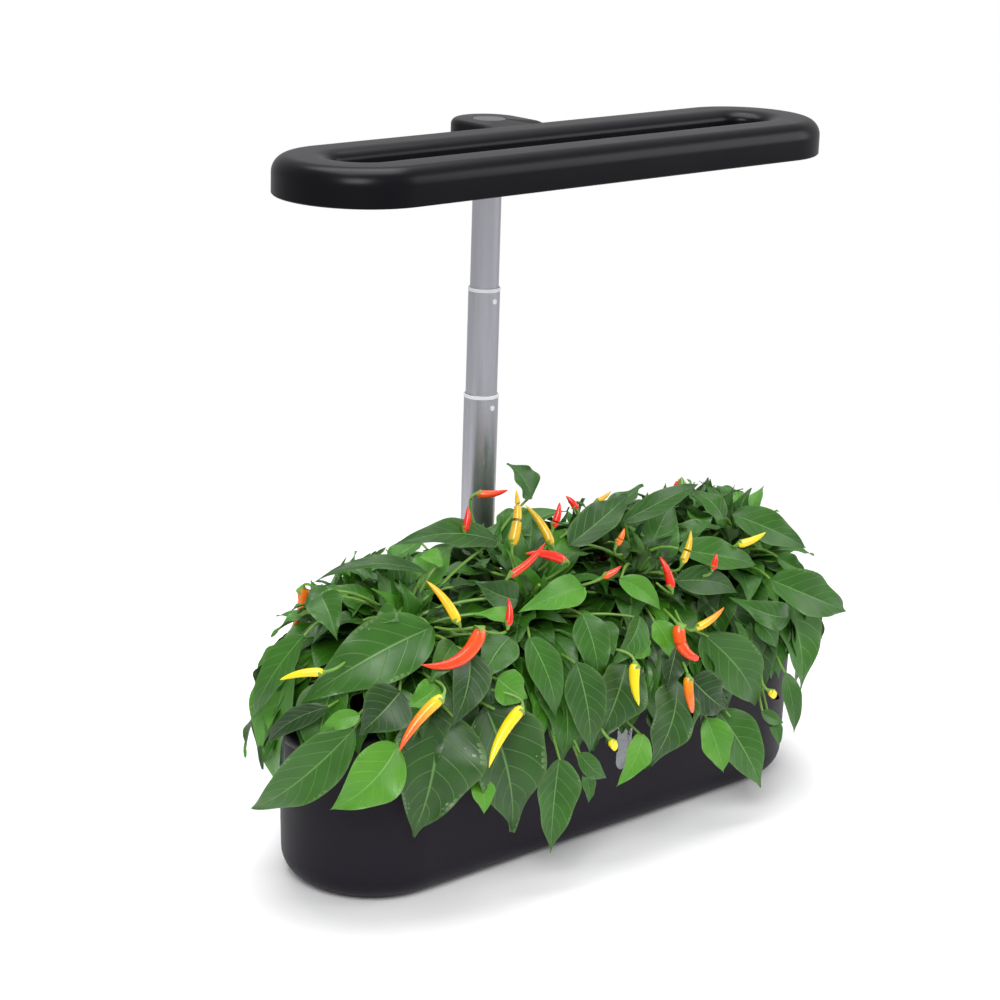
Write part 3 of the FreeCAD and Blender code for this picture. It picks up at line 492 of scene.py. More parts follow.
class Finish(Enum):
    """Every finish on the garden."""

    # Fine spark-eroded ABS: deep matte black, with a faint sheen on the tank's rounds.
    TANK_ABS = Moulded("abs_moulded_matte_black", "120d16", "17121c", 0.5, specular=0.16)
    # Polished-tool ABS: darker, with one soft streak of light along the lamp's crown.
    LAMP_ABS = Moulded("abs_moulded_satin_black", "09070b", "0d0b10", 0.31, 0.4, 0.03,
                       specular=0.13)
    # Moulded rubber: dull, with no highlight to speak of.
    RUBBER = Moulded("rubber_moulded_black", "161616", "1d1d1d", 0.7, 0.8, 0.1, 1.52)
    # Turned acetal: waxy white rings and studs.
    ACETAL = Moulded("acetal_turned_white", "e6e6ea", "dcdce0", 0.35, 0.6, 0.03, 1.48)
    # Opal sheet: milky, hides the chips above it.
    OPAL = Moulded("polycarbonate_opal_diffuser", "efefec", "e6e6e2", 0.4, 0.7, 0.03, 1.58)
    # Solder mask: even white with a slight gloss.
    BOARD = Moulded("circuit_board_white_mask", "e2e2dd", "d6d6d0", 0.4, 0.6, 0.03)
    # Phosphor under clear resin: bright yellow and smooth.
    PHOSPHOR = Moulded("led_phosphor_yellow", "e8c840", "e0bc30", 0.3, 0.5, 0.02)
    # Open cells: brown and rough, with no shine.
    SPONGE = Moulded("sponge_open_cell_brown", "3a2f26", "231c16", 0.9, 1.6, 0.8, 1.4)
    # Smooth black cover: mirrors the studio.
    GLOSS = Moulded("glass_filled_gloss_black", "121214", "151518", 0.12, 2.0, 0.01)
    # Thin print: dull grey lines on the gloss.
    PRINT = Moulded("screen_print_grey", "5c5c63", "53535a", 0.5, 0.6, 0.02)
    ALUMINIUM = SatinMetal("aluminium_drawn_anodised", "c9c9d0", "b4b4bc", 0.34)
    CLEAR = ClearPlastic("polycarbonate_clear", "e6eef0", 0.08)
    LEAF = LeafSkin()
    FRUIT = FruitSkin()
    STEM = Stalk()


class Paints:
    """Makes each finish once and hands it out."""

    def __init__(self) -> None:
        """Start with nothing made."""
        self._made: dict[Finish, Material] = {}

    def get(self, finish: Finish) -> Material:
        """Make a finish's material when it is first asked for, and hand it out.

        Args:
            finish: the finish.

        Returns:
            Its one material.
        """
        if finish not in self._made:
            self._made[finish] = finish.value.make()
        return self._made[finish]

    def dress_node(self, node: str, finish: Finish) -> None:
        """Give a carried-over CAD node a finish.

        Args:
            node: the CAD node, which keeps its mesh.
            finish: its material.
        """
        obj = frame["nodes"][node]
        if not obj.material_slots:
            obj.data.materials.append(None)
        for socket in obj.material_slots:
            socket.material = self.get(finish)


PAINTS = Paints()


@dataclass
class Surface:
    """Points, faces and per-point values of one piece before it becomes a mesh."""

    points: Array
    faces: list[Array]
    uv: Array | None = None
    values: dict[str, Array] | None = None

    def build(self, name: str, finish: Finish, body: Body, slot: str,
              replaces: Sequence[str] = (), sharp_deg: float = 35.0) -> bpy.types.Object:
        """Turn the surface into a piece that rides on a body.

        Args:
            name: the piece's name.
            finish: its material.
            body: the body that carries it.
            slot: the record's material slot; not used.
            replaces: CAD nodes that it stands for.
            sharp_deg: the least angle that stays a sharp edge.

        Returns:
            The finished object.
        """
        mesh = bpy.data.meshes.new(name)
        mesh.from_pydata(self.points.tolist(), [],
                         [face for group in self.faces for face in group.tolist()])
        mesh.update()
        if self.uv is not None:
            layer = mesh.uv_layers.new(name="blade")
            corner = np.zeros(len(mesh.loops), dtype=np.int32)
            mesh.loops.foreach_get("vertex_index", corner)
            layer.data.foreach_set("uv", self.uv[corner].astype(np.float32).ravel())
        for label, row in (self.values or {}).items():
            layer = mesh.attributes.new(label, "FLOAT", "POINT")
            layer.data.foreach_set("value", row.astype(np.float32))
        mesh.shade_smooth()
        mesh.set_sharp_from_angle(angle=math.radians(sharp_deg))
        obj = bpy.data.objects.new(name, mesh)
        bpy.context.collection.objects.link(obj)
        mesh.materials.append(PAINTS.get(finish))
        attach(obj, body.value)
        if replaces:
            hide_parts(*replaces)
        LOG.info("%s: %d faces, rides on %s", name, len(mesh.polygons), body.value)
        return obj


def merge(parts: Sequence[Surface]) -> Surface:
    """Join surfaces into one.

    Args:
        parts: surfaces without maps or values.

    Returns:
        One surface that holds them all.
    """
    shifts = np.cumsum([0] + [len(part.points) for part in parts[:-1]])
    faces = [group + shift for part, shift in zip(parts, shifts) for group in part.faces]
    return Surface(np.concatenate([part.points for part in parts]), faces)


def grid_quads(rows: int, columns: int, wrap_rows: bool = False) -> Array:
    """Make quads between neighbours on a grid of points that is stored row by row.

    Args:
        rows: how many rows the grid has.
        columns: how many points a row has; the last is the first one's neighbour.
        wrap_rows: whether the last row is the first one's neighbour too.

    Returns:
        Point numbers, n by 4.
    """
    i, j = np.meshgrid(np.arange(rows if wrap_rows else rows - 1), np.arange(columns),
                       indexing="ij")
    i2, j2 = (i + 1) % rows, (j + 1) % columns
    quads = [i * columns + j, i * columns + j2, i2 * columns + j2, i2 * columns + j]
    return np.stack(quads, axis=-1).reshape(-1, 4)


def hose_faces(count: int, steps: int, sides: int) -> list[Array]:
    """Make the faces of closed hoses, whose points are stored hose by hose and ring by ring.

    Args:
        count: how many hoses there are.
        steps: rings of each hose.
        sides: points of each ring.

    Returns:
        The quads along the hoses, then each one's flat start, then each one's flat end.
    """
    shift = (np.arange(count) * steps * sides)[:, None, None]
    around = (grid_quads(steps, sides)[None] + shift).reshape(-1, 4)
    starts = np.arange(sides)[None] + shift[:, :, 0]
    return [around, starts[:, ::-1], starts + (steps - 1) * sides]


def slot_loop(length: float, width: float, middle_y: float, arc: int = 40,
              straight: int = 10) -> tuple[Array, Array]:
    """Find the centre line and the outward directions of a slot shape, counterclockwise.

    A point of the outline inset by d is centre + direction * (width / 2 - d): the direction turns
    through half a circle at each end and stays still along the sides, while the centre does the
    opposite.

    Args:
        length: the slot's length along X.
        width: its width along Y.
        middle_y: where its middle lies.
        arc: points round each end.
        straight: points along each side, without its ends.

    Returns:
        Centres and directions, each n by 2.
    """
    half = (length - width) / 2
    turn = np.linspace(-math.pi / 2, math.pi / 2, arc)
    run = np.linspace(half, -half, straight + 2)[1:-1]
    angle = np.concatenate([turn, np.full(straight, math.pi / 2), turn + math.pi,
                            np.full(straight, 1.5 * math.pi)])
    centre_x = np.concatenate([np.full(arc, half), run, np.full(arc, -half), -run])
    centre = np.column_stack([centre_x, np.full(len(centre_x), middle_y)])
    return centre, np.column_stack([np.cos(angle), np.sin(angle)])


def sweep(length: float, width: float, profile: Array, middle_y: float) -> Surface:
    """Carry a closed profile round a slot shape.

    Args:
        length: the slot's length along X.
        width: its width along Y.
        profile: for each point its inset from the outline and its height.
        middle_y: where the slot's middle lies.

    Returns:
        The hoop.
    """
    centre, out = slot_loop(length, width, middle_y)
    inset, height = profile[:, 0], profile[:, 1]
    plan = centre[None] + out[None] * (width / 2 - inset)[:, None, None]
    level = np.broadcast_to(height[:, None, None], plan.shape[:2] + (1,))
    points = np.dstack([plan, level])
    return Surface(points.reshape(-1, 3), [grid_quads(*points.shape[:2], True)])


def arc_points(centre: tuple[float, float], radii: tuple[float, float], start: float, end: float,
               steps: int) -> Array:
    """Points centre + radii * (cos a, sin a) of an ellipse, with a in degrees."""
    turn = np.radians(np.linspace(start, end, steps))
    return np.column_stack([centre[0] + radii[0] * np.cos(turn),
                            centre[1] + radii[1] * np.sin(turn)])


def turned(profile: Array, place: Sequence[float], sides: int = 64,
           shape: Callable[[Array], Array] | None = None) -> Surface:
    """Turn a closed profile about an upright axis.

    Args:
        profile: for each point its radius and its height.
        place: a point of the axis; its height is added to the profile's.
        sides: facets round the axis.
        shape: gives the share of the radius at an angle, as for a grooved tube.

    Returns:
        The turned piece.
    """
    angle = np.linspace(0, 2 * math.pi, sides, endpoint=False)
    share = shape(angle) if shape else np.ones(sides)
    radius = profile[:, 0][:, None] * share[None]
    height = np.broadcast_to(profile[:, 1][:, None], radius.shape)
    points = np.dstack([place[0] + radius * np.cos(angle), place[1] + radius * np.sin(angle),
                        place[2] + height])
    return Surface(points.reshape(-1, 3), [grid_quads(len(profile), sides, True)])


def tubes(paths: Array, radii: Array, sides: int = 8,
          values: dict[str, Array] | None = None) -> Surface:
    """Make round tubes along many paths at once, each closed by a flat end.

    A point is path + radius * (cos a * first + sin a * second), where first and second are two
    directions square to the path's own direction at that step.

    Args:
        paths: n tubes by k steps by 3.
        radii: n by k.
        sides: facets round each tube.
        values: per-step values, n by k, that become point values.

    Returns:
        One surface that holds all the tubes.
    """
    ahead = np.gradient(paths, axis=1)
    ahead /= np.linalg.norm(ahead, axis=2, keepdims=True) + NO_LENGTH
    steep = np.abs(ahead[..., 2:3]) > STEEP
    first = np.cross(ahead, np.where(steep, [1.0, 0.0, 0.0], [0.0, 0.0, 1.0]))
    first /= np.linalg.norm(first, axis=2, keepdims=True)
    second = np.cross(ahead, first)
    angle = np.linspace(0, 2 * math.pi, sides, endpoint=False)
    ring = first[:, :, None] * np.cos(angle)[None, None, :, None] \
        + second[:, :, None] * np.sin(angle)[None, None, :, None]
    points = paths[:, :, None] + ring * radii[:, :, None, None]
    kept = {key: np.repeat(row.reshape(-1), sides) for key, row in (values or {}).items()}
    return Surface(points.reshape(-1, 3), hose_faces(*paths.shape[:2], sides), None, kept or None)


BODY_OF = {node: body for body, nodes in frame["record"]["behaviour"]["bodies"].items()
           for node in nodes}


def carry(node: str, finish: Finish, sharp_deg: float = 28.0) -> bpy.types.Object:
    """Show a CAD node with its facets welded, rounds shaded smooth and flats kept flat.

    Args:
        node: the CAD node, which the new piece stands for.
        finish: its material.
        sharp_deg: the least angle that stays a sharp edge.

    Returns:
        The finished object.
    """
    mesh = bpy.data.meshes.new(node + "_shown")
    work = bmesh.new()
    work.from_mesh(frame["nodes"][node].data)
    bmesh.ops.remove_doubles(work, verts=work.verts, dist=WELD)
    work.to_mesh(mesh)
    work.free()
    if "custom_normal" in mesh.attributes:
        mesh.attributes.remove(mesh.attributes["custom_normal"])
    mesh.materials.clear()
    mesh.materials.append(PAINTS.get(finish))
    mesh.shade_smooth()
    mesh.set_sharp_from_angle(angle=math.radians(sharp_deg))
    obj = bpy.data.objects.new(node + "_shown", mesh)
    bpy.context.collection.objects.link(obj)
    flats = obj.modifiers.new("flats", "WEIGHTED_NORMAL")
    flats.keep_sharp = True
    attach(obj, BODY_OF[node])
    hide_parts(node)
    LOG.info("%s: %d faces, rides on %s", obj.name, len(mesh.polygons), BODY_OF[node])
    return obj


def extent(node: str) -> tuple[Array, Array]:
    """Lowest and highest corner of a CAD node at rest, in metres."""
    low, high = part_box(node)
    return np.array(low), np.array(high)


@dataclass(frozen=True)
class LampForm:
    """The lamp's ring, its arm over the pole and its touch disc; their places are the frame's."""

    tube: float = 35.4 * MM
    lip: float = 2.5 * MM
    wall: float = 2.2 * MM
    cavity: float = 9.0 * MM
    height: float = 23.0 * MM
    outer_round: float = 10.6 * MM
    inner_round: tuple[float, float] = (11.3 * MM, 6.5 * MM)
    round_steps: int = 14
    edge: float = 0.6 * MM
    arm_radius: float = 24.8 * MM
    arm_round: float = 4.0 * MM
    arm_round_steps: int = 9
    arm_sink: float = 2.4 * MM
    arm_steps: tuple[int, int, int] = (12, 49, 9)
    room_radius: float = 20.0 * MM
    room_height: float = 12.0 * MM
    seat_gap: float = 0.15 * MM
    touch_sunk: float = 0.06 * MM
    touch_edge: float = 0.2 * MM
    pinhole: float = 0.01 * MM
    print_height: float = 0.03 * MM
    print_ring: tuple[float, float] = (0.69, 0.72)
    print_sides: int = 48
    dots: int = 4
    first_dot_deg: float = 45.0
    dot_place: float = 0.4
    dot_radius: float = 0.35 * MM

    def build(self) -> None:
        """Make the ring, the arm, the touch disc and its printed marks."""
        self._ring().build("lamp_ring", Finish.LAMP_ABS, Body.LAMP, "satin_plastic",
                           ("lamp_shell",))
        self._arm().build("lamp_arm", Finish.LAMP_ABS, Body.LAMP, "satin_plastic")
        self._touch()

    def _ring(self) -> Surface:
        """Carry the section round the slot: a soft crown, open below for the diffuser.

        Returns:
            The hoop.
        """
        low, high = extent("lamp_diffuser")
        size = high - low + 2 * self.lip
        foot, top = low[2], low[2] + self.height
        (rx, rz), steps = self.inner_round, self.round_steps
        section = np.concatenate([
            [[0.0, foot + self.edge]],
            arc_points((self.outer_round, top - self.outer_round), (self.outer_round,) * 2,
                       180, 90, steps),
            arc_points((self.tube - rx, top - rz), (rx, rz), 90, 0, steps),
            [[self.tube, foot + self.edge], [self.tube - self.edge, foot],
             [self.tube - self.wall, foot], [self.tube - self.wall, foot + self.cavity],
             [self.wall, foot + self.cavity], [self.wall, foot], [self.edge, foot]]])
        return sweep(size[0], size[1], section, (low[1] + high[1]) / 2)

    def _arm_plan(self, start_y: float, pole_y: float) -> tuple[Array, Array, Array]:
        """Lay out the arm's outline: up one side, round the pole, down the other and across.

        Args:
            start_y: where the arm leaves the ring.
            pole_y: the pole's axis.

        Returns:
            For each point its X as a share of the half width, the Y of the arm's middle line
            there, and how far it bulges past that line, as a share of the half width.
        """
        side, arc, across = self.arm_steps
        turn = np.linspace(0, math.pi, arc)
        run = np.linspace(start_y, pole_y, side + 1)[:-1]
        x = np.concatenate([np.ones(side), np.cos(turn), -np.ones(side),
                            np.linspace(-1, 1, across + 2)[1:-1]])
        y = np.concatenate([run, np.full(arc, pole_y), run[::-1], np.full(across, start_y)])
        return x, y, np.concatenate([np.zeros(side), np.sin(turn), np.zeros(side + across)])

    def _arm(self) -> Surface:
        """Make a tongue that leaves the ring's crown and ends round, about the pole's axis.

        Each row is the outline inset by some length at some height. The first two rows are circles
        about the pole for the room of the cover below, and the last two for the touch disc's seat
        above. Near the ring the top sinks by arm_sink * n^2 * (3 - 2n), with n from 0 to 1.

        Returns:
            The arm.
        """
        cover_low, _ = extent("arm_cover")
        touch_low, touch_high = extent("touch_panel")
        pole_y = (touch_low[1] + touch_high[1]) / 2
        start_y = extent("lamp_diffuser")[1][1] - self.tube / 2
        x, y, bulge = self._arm_plan(start_y, pole_y)
        angle = np.arctan2(y + bulge * self.arm_radius - pole_y, x * self.arm_radius)
        room, seat = (np.column_stack([radius * np.cos(angle), pole_y + radius * np.sin(angle)])
                      for radius in (self.room_radius,
                                     (touch_high[0] - touch_low[0]) / 2 + self.seat_gap))
        foot, top = cover_low[2], touch_high[2]
        profile = np.concatenate([[[0.0, foot]], arc_points(
            (self.arm_round, top - self.arm_round), (self.arm_round,) * 2, 180, 90,
            self.arm_round_steps)])
        half = self.arm_radius - profile[:, :1]
        outline = np.dstack([x * half, y + bulge * half])
        plan = np.concatenate([[room, room], outline, [seat, seat]])
        heights = np.concatenate([[foot + self.room_height, foot], profile[:, 1],
                                  [top, touch_low[2]]])
        near = np.clip((start_y + self.tube / 2 - plan[..., 1]) / (self.tube / 2), 0, 1)
        crown = heights > foot + self.arm_round
        crown[0] = False    # the room's ceiling, which stays level
        sink = self.arm_sink * near * near * (3 - 2 * near)
        points = np.dstack([plan, heights[:, None] - np.where(crown[:, None], sink, 0.0)])
        return Surface(points.reshape(-1, 3), hose_faces(1, *points.shape[:2]))

    def _touch(self) -> None:
        """Make the glossy touch disc, set just under the arm's top, with a ring and four dots."""
        low, high = extent("touch_panel")
        middle = ((low[0] + high[0]) / 2, (low[1] + high[1]) / 2, 0.0)
        radius = (high[0] - low[0]) / 2
        top, e = high[2] - self.touch_sunk, self.touch_edge
        disc = np.array([[self.pinhole, low[2]], [radius, low[2]], [radius, top - e],
                         [radius - e, top], [self.pinhole, top]])
        turned(disc, middle).build("touch_glass", Finish.GLOSS, Body.LAMP, "touch_glass",
                                   ("touch_panel",))
        inner, outer = (share * radius for share in self.print_ring)
        marks = [self._flat_ring(middle, inner, outer, top)]
        for number in range(self.dots):
            turn = math.radians(self.first_dot_deg + 360 / self.dots * number)
            spot = (middle[0] + self.dot_place * radius * math.cos(turn),
                    middle[1] + self.dot_place * radius * math.sin(turn), 0.0)
            marks.append(self._flat_ring(spot, self.pinhole, self.dot_radius, top))
        merge(marks).build("touch_marks", Finish.PRINT, Body.LAMP, "white_plastic")

    def _flat_ring(self, middle: Sequence[float], inner: float, outer: float,
                   level: float) -> Surface:
        """A thin printed ring that stands over a level by the print's height."""
        top = level + self.print_height
        return turned(np.array([[inner, level], [outer, level], [outer, top], [inner, top]]),
                      middle, self.print_sides)


@dataclass(frozen=True)
class PoleForm:
    """Telescopic aluminium tubes with a guide groove down both sides, and white guide rings."""

    wall: float = 0.75 * MM
    groove_half: float = 1.5 * MM
    groove_depth: float = 0.3 * MM
    groove_slope: float = 4.0
    edge: float = 0.15 * MM
    sides: int = 120

    def build(self) -> None:
        """Make the three tubes and the two guide rings."""
        for node, body in (("lower_tube", Body.BASE), ("middle_tube", Body.MIDDLE_POLE),
                           ("top_tube", Body.LAMP)):
            self._tube(node, True).build(node + "_drawn", Finish.ALUMINIUM, body, "aluminium",
                                         (node,))
        for node, body in (("lower_collar", Body.BASE), ("middle_collar", Body.MIDDLE_POLE)):
            self._tube(node, False).build(node + "_ring", Finish.ACETAL, body, "white_plastic",
                                          (node,))

    def _tube(self, node: str, grooved: bool) -> Surface:
        """Turn a wall about a node's axis, with its edges broken.

        Args:
            node: the CAD node that gives the radius and both ends.
            grooved: whether it has guide grooves.

        Returns:
            The tube.
        """
        low, high = extent(node)
        radius = (high[1] - low[1]) / 2
        inner, e = radius - self.wall, self.edge
        profile = np.array([[radius - e, low[2]], [radius, low[2] + e], [radius, high[2] - e],
                            [radius - e, high[2]], [inner + e, high[2]], [inner, high[2] - e],
                            [inner, low[2] + e], [inner + e, low[2]]])
        middle = (0.0, (low[1] + high[1]) / 2, 0.0)
        return turned(profile, middle, self.sides, self._groove(radius) if grooved else None)

    def _groove(self, radius: float) -> Callable[[Array], Array]:
        """Shape a shallow dip about the X axis, on both sides.

        Args:
            radius: the tube's outer radius.

        Returns:
            A function that gives the share of the radius at an angle.
        """
        def share(angle: Array) -> Array:
            """1 less the groove's depth, which grows from the groove's edge to its floor."""
            off = np.abs(np.sin(angle)) * radius / self.groove_half
            return 1 - self.groove_depth / radius * np.clip((1 - off) * self.groove_slope, 0, 1)
        return share


@dataclass(frozen=True)
class PhotoCamera:
    """The camera that took the photo, fitted to the outlines of the tank, pole and lamp, in mm."""

    place: tuple[float, float, float] = (-1115.813, -1185.705, 701.457)
    azimuth_deg: float = -42.0
    elevation_deg: float = 16.51
    roll_deg: float = 1.81
    focal_px: float = 2601.56
    frame_px: float = 1000.0
    sensor_mm: float = 36.0

    def axes(self) -> tuple[Array, Array, Array]:
        """Find the camera's own axes.

        Returns:
            Its right, up and back directions.
        """
        az, el, roll = (math.radians(angle) for angle in
                        (self.azimuth_deg, self.elevation_deg, self.roll_deg))
        back = np.array([math.sin(az) * math.cos(el), -math.cos(az) * math.cos(el), math.sin(el)])
        level = np.array([math.cos(az), math.sin(az), 0.0])
        over = np.cross(back, level)
        right = math.cos(roll) * level + math.sin(roll) * over
        return right, np.cross(back, right), back

    def rays(self, pixels: Array) -> Array:
        """Find unit directions through pixels.

        Args:
            pixels: n by 2, from the photo's top left corner.

        Returns:
            Directions, n by 3.
        """
        right, up, back = self.axes()
        off = (pixels - self.frame_px / 2) / self.focal_px
        ray = right * off[:, :1] - up * off[:, 1:] - back
        return ray / np.linalg.norm(ray, axis=1, keepdims=True)

    def build(self) -> None:
        """Add the camera to the scene and make it the active one."""
        data = bpy.data.cameras.new("photo_camera")
        data.sensor_width = self.sensor_mm
        data.lens = self.focal_px / self.frame_px * self.sensor_mm
        camera = bpy.data.objects.new("photo_camera", data)
        bpy.context.collection.objects.link(camera)
        columns = np.eye(4)
        columns[:3, :3] = np.column_stack(self.axes())
        columns[:3, 3] = np.array(self.place) * MM
        camera.matrix_world = Matrix(columns.tolist())
        bpy.context.scene.camera = camera


@dataclass(frozen=True)
class Mound:
    """The crop's outer surface, in mm: a dome along the tank's middle line over a hanging skirt."""

    half_run: float = 150.0
    radius: float = 88.0
    rise: float = 108.0
    waist: float = 112.0
    flare: float = 0.12
    lowest: float = 24.0
    search: tuple[float, float, int] = (1300, 2150, 600)

    def level(self, spot: Array) -> Array:
        """Measure how far out points lie.

        Over the waist it is (away / radius)^2 + (above / rise)^2, with away from the middle line.
        Below, it is (away / (radius + flare * depth))^2.

        Args:
            spot: points, with X, Y and Z last.

        Returns:
            0 on the middle line, 1 on the surface and more outside it.
        """
        beyond = np.maximum(np.abs(spot[..., 0]) - self.half_run, 0)
        away = np.hypot(beyond, spot[..., 1])
        above = spot[..., 2] - self.waist
        dome = (away / self.radius) ** 2 + (above / self.rise) ** 2
        skirt = (away / (self.radius - self.flare * np.minimum(above, 0))) ** 2
        return np.where(above > 0, dome, skirt)

    def outward(self, spot: Array) -> Array:
        """Unit normals of the surface's family through points."""
        return unit(np.stack([self.level(spot + axis) - self.level(spot - axis)
                              for axis in np.eye(3)], axis=-1))

    def seen_at(self, camera: PhotoCamera, pixels: Array) -> Array:
        """Find where the rays through pixels first meet the surface, or come nearest to it.

        Args:
            camera: the photo's camera.
            pixels: n by 2.

        Returns:
            Points, n by 3.
        """
        reach = np.linspace(*self.search)
        spots = np.array(camera.place) + camera.rays(pixels)[:, None] * reach[None, :, None]
        level = np.where(spots[..., 2] > self.lowest, self.level(spots), np.inf)
        inside = level <= 1
        pick = np.where(inside.any(axis=1), inside.argmax(axis=1), level.argmin(axis=1))
        return spots[np.arange(len(pixels)), pick]


@dataclass(frozen=True)
class PhotoLeaf:
    """A leaf read from the photo: heel and tip pixel, width in pixels and how it looks."""

    heel: tuple[int, int]
    tip: tuple[int, int]
    width: float
    look: str = "mid"


@dataclass(frozen=True)
class PhotoFruit:
    """A chilli read from the photo: crown and tip pixel, width, ripeness of both, bend."""

    crown: tuple[int, int]
    tip: tuple[int, int]
    width: float
    ripe: tuple[float, float]
    bend: float = 0.06


TONES = {"bright": 1.1, "mid": 0.44, "dull": 0.24, "dark": 0.06}

PHOTO_LEAVES = tuple(PhotoLeaf(*row) for row in (
    ((304, 635), (248, 720), 30), ((433, 627), (302, 704), 54),
    ((427, 573), (312, 581), 14, "dull"), ((497, 541), (395, 544), 30, "dull"),
    ((355, 728), (247, 813), 42), ((328, 707), (265, 747), 18, "dark"),
    ((398, 745), (330, 811), 45, "bright"), ((360, 715), (318, 732), 16, "bright"),
    ((401, 691), (360, 734), 43, "dark"), ((454, 715), (431, 846), 78, "dull"),
    ((494, 707), (524, 838), 72, "dull"), ((470, 651), (454, 728), 35, "dark"),
    ((529, 637), (559, 720), 30), ((510, 637), (481, 683), 32),
    ((497, 678), (529, 699), 30, "bright"), ((454, 643), (430, 683), 24),
    ((532, 498), (508, 463), 30), ((320, 595), (336, 637), 30), ((328, 589), (303, 608), 16),
    ((476, 779), (484, 814), 21, "bright"), ((443, 562), (419, 557), 16, "bright"),
    ((518, 600), (476, 581), 27, "dull"), ((513, 616), (476, 613), 14, "bright"),
    ((438, 686), (406, 707), 24, "bright"), ((379, 611), (401, 621), 19),
    ((560, 758), (553, 854), 40), ((576, 662), (591, 755), 37, "dull"),
    ((627, 664), (600, 741), 51, "dull"), ((678, 680), (653, 771), 47, "dull"),
    ((582, 613), (600, 688), 30), ((640, 616), (614, 667), 24),
    ((678, 643), (667, 691), 25, "dark"), ((707, 635), (764, 712), 43),
    ((707, 718), (725, 773), 29, "bright"), ((729, 715), (776, 793), 40),
    ((785, 672), (797, 735), 16), ((769, 579), (847, 611), 35), ((789, 617), (734, 597), 24),
    ((732, 514), (807, 548), 29), ((777, 557), (807, 572), 16),
    ((622, 522), (705, 479), 18, "dull"), ((568, 546), (630, 490), 29, "dull"),
    ((584, 587), (520, 611), 27, "bright"), ((619, 579), (662, 611), 19, "bright"),
    ((675, 581), (745, 592), 24, "dull"), ((678, 549), (761, 562), 27),
    ((724, 520), (691, 490), 21), ((643, 734), (619, 787), 24, "bright"),
    ((579, 753), (608, 779), 16), ((584, 771), (590, 804), 12),
    ((691, 678), (729, 710), 35, "dark"), ((654, 621), (670, 659), 21, "bright"),
    ((603, 621), (614, 656), 21), ((635, 643), (651, 656), 19, "bright"),
    ((761, 712), (785, 723), 11), ((769, 718), (780, 747), 11), ((756, 621), (777, 648), 16)))

PHOTO_FRUITS = tuple(PhotoFruit(*row) for row in (
    ((481, 629), (422, 663), 15, (0.85, 0.95), -0.2), ((458, 621), (427, 580), 10, (0.3, 0.45)),
    ((442, 696), (400, 749), 12, (0.3, 0.85)), ((324, 671), (282, 678), 9, (0.25, 0.25)),
    ((521, 707), (489, 765), 12, (0.25, 0.25)), ((508, 624), (508, 597), 8, (1.0, 1.0)),
    ((465, 530), (468, 506), 8, (1.0, 1.0)), ((478, 494), (508, 490), 8, (0.8, 1.0)),
    ((512, 544), (516, 490), 11, (0.1, 0.12)), ((551, 544), (525, 505), 9, (0.1, 0.1)),
    ((553, 526), (559, 502), 8, (1.0, 1.0)), ((564, 560), (525, 553), 10, (1.0, 1.0)),
    ((510, 575), (545, 542), 8, (0.95, 0.95)), ((670, 587), (658, 556), 9, (1.0, 1.0)),
    ((711, 568), (714, 553), 7, (1.0, 1.0)), ((576, 509), (565, 496), 7, (1.0, 1.0)),
    ((616, 544), (623, 528), 7, (0.6, 0.6)), ((681, 562), (689, 530), 8, (0.12, 0.12)),
    ((737, 544), (763, 532), 8, (0.27, 0.27)), ((603, 576), (620, 565), 7, (0.8, 1.0)),
    ((678, 625), (705, 659), 13, (0.8, 0.95), 0.25), ((695, 627), (722, 606), 8, (0.3, 0.6)),
    ((634, 663), (638, 704), 11, (0.25, 0.25)), ((687, 676), (695, 718), 10, (0.5, 0.8)),
    ((768, 690), (787, 700), 8, (0.25, 0.25)), ((610, 739), (624, 752), 9, (0.25, 0.25)),
    ((595, 502), (610, 491), 5, (0.4, 0.4))))


@dataclass
class Leaves:
    """Many leaves at once, one row each, in mm."""

    heel: Array
    tip: Array
    facing: Array
    half_width: Array
    tone: Array

    def columns(self) -> tuple[Array, ...]:
        """Every value of the leaves, in the class's own order."""
        return self.heel, self.tip, self.facing, self.half_width, self.tone

    def pick(self, chosen: Array) -> "Leaves":
        """The leaves that a mask or a list of rows chooses."""
        return Leaves(*(column[chosen] for column in self.columns()))

    def with_more(self, other: "Leaves") -> "Leaves":
        """These leaves and some others."""
        return Leaves(*(np.concatenate(pair) for pair in zip(self.columns(), other.columns())))


def unit(rows: Array) -> Array:
    """Rows scaled to length 1."""
    return rows / (np.linalg.norm(rows, axis=-1, keepdims=True) + TINY)


def curve(start: Array, pull: Array, end: Array, steps: int) -> Array:
    """Quadratic curves (1-s)^2 start + 2s(1-s) pull + s^2 end, as n by steps by 3."""
    s = np.linspace(0, 1, steps)[None, :, None]
    return (1 - s) ** 2 * start[:, None] + 2 * s * (1 - s) * pull[:, None] + s ** 2 * end[:, None]


def taper(ends: tuple[float, float], steps: int, count: int = 1) -> Array:
    """Radii that run evenly from one end's to the other's, as count by steps."""
    return np.repeat(np.linspace(*ends, steps)[None], count, 0)


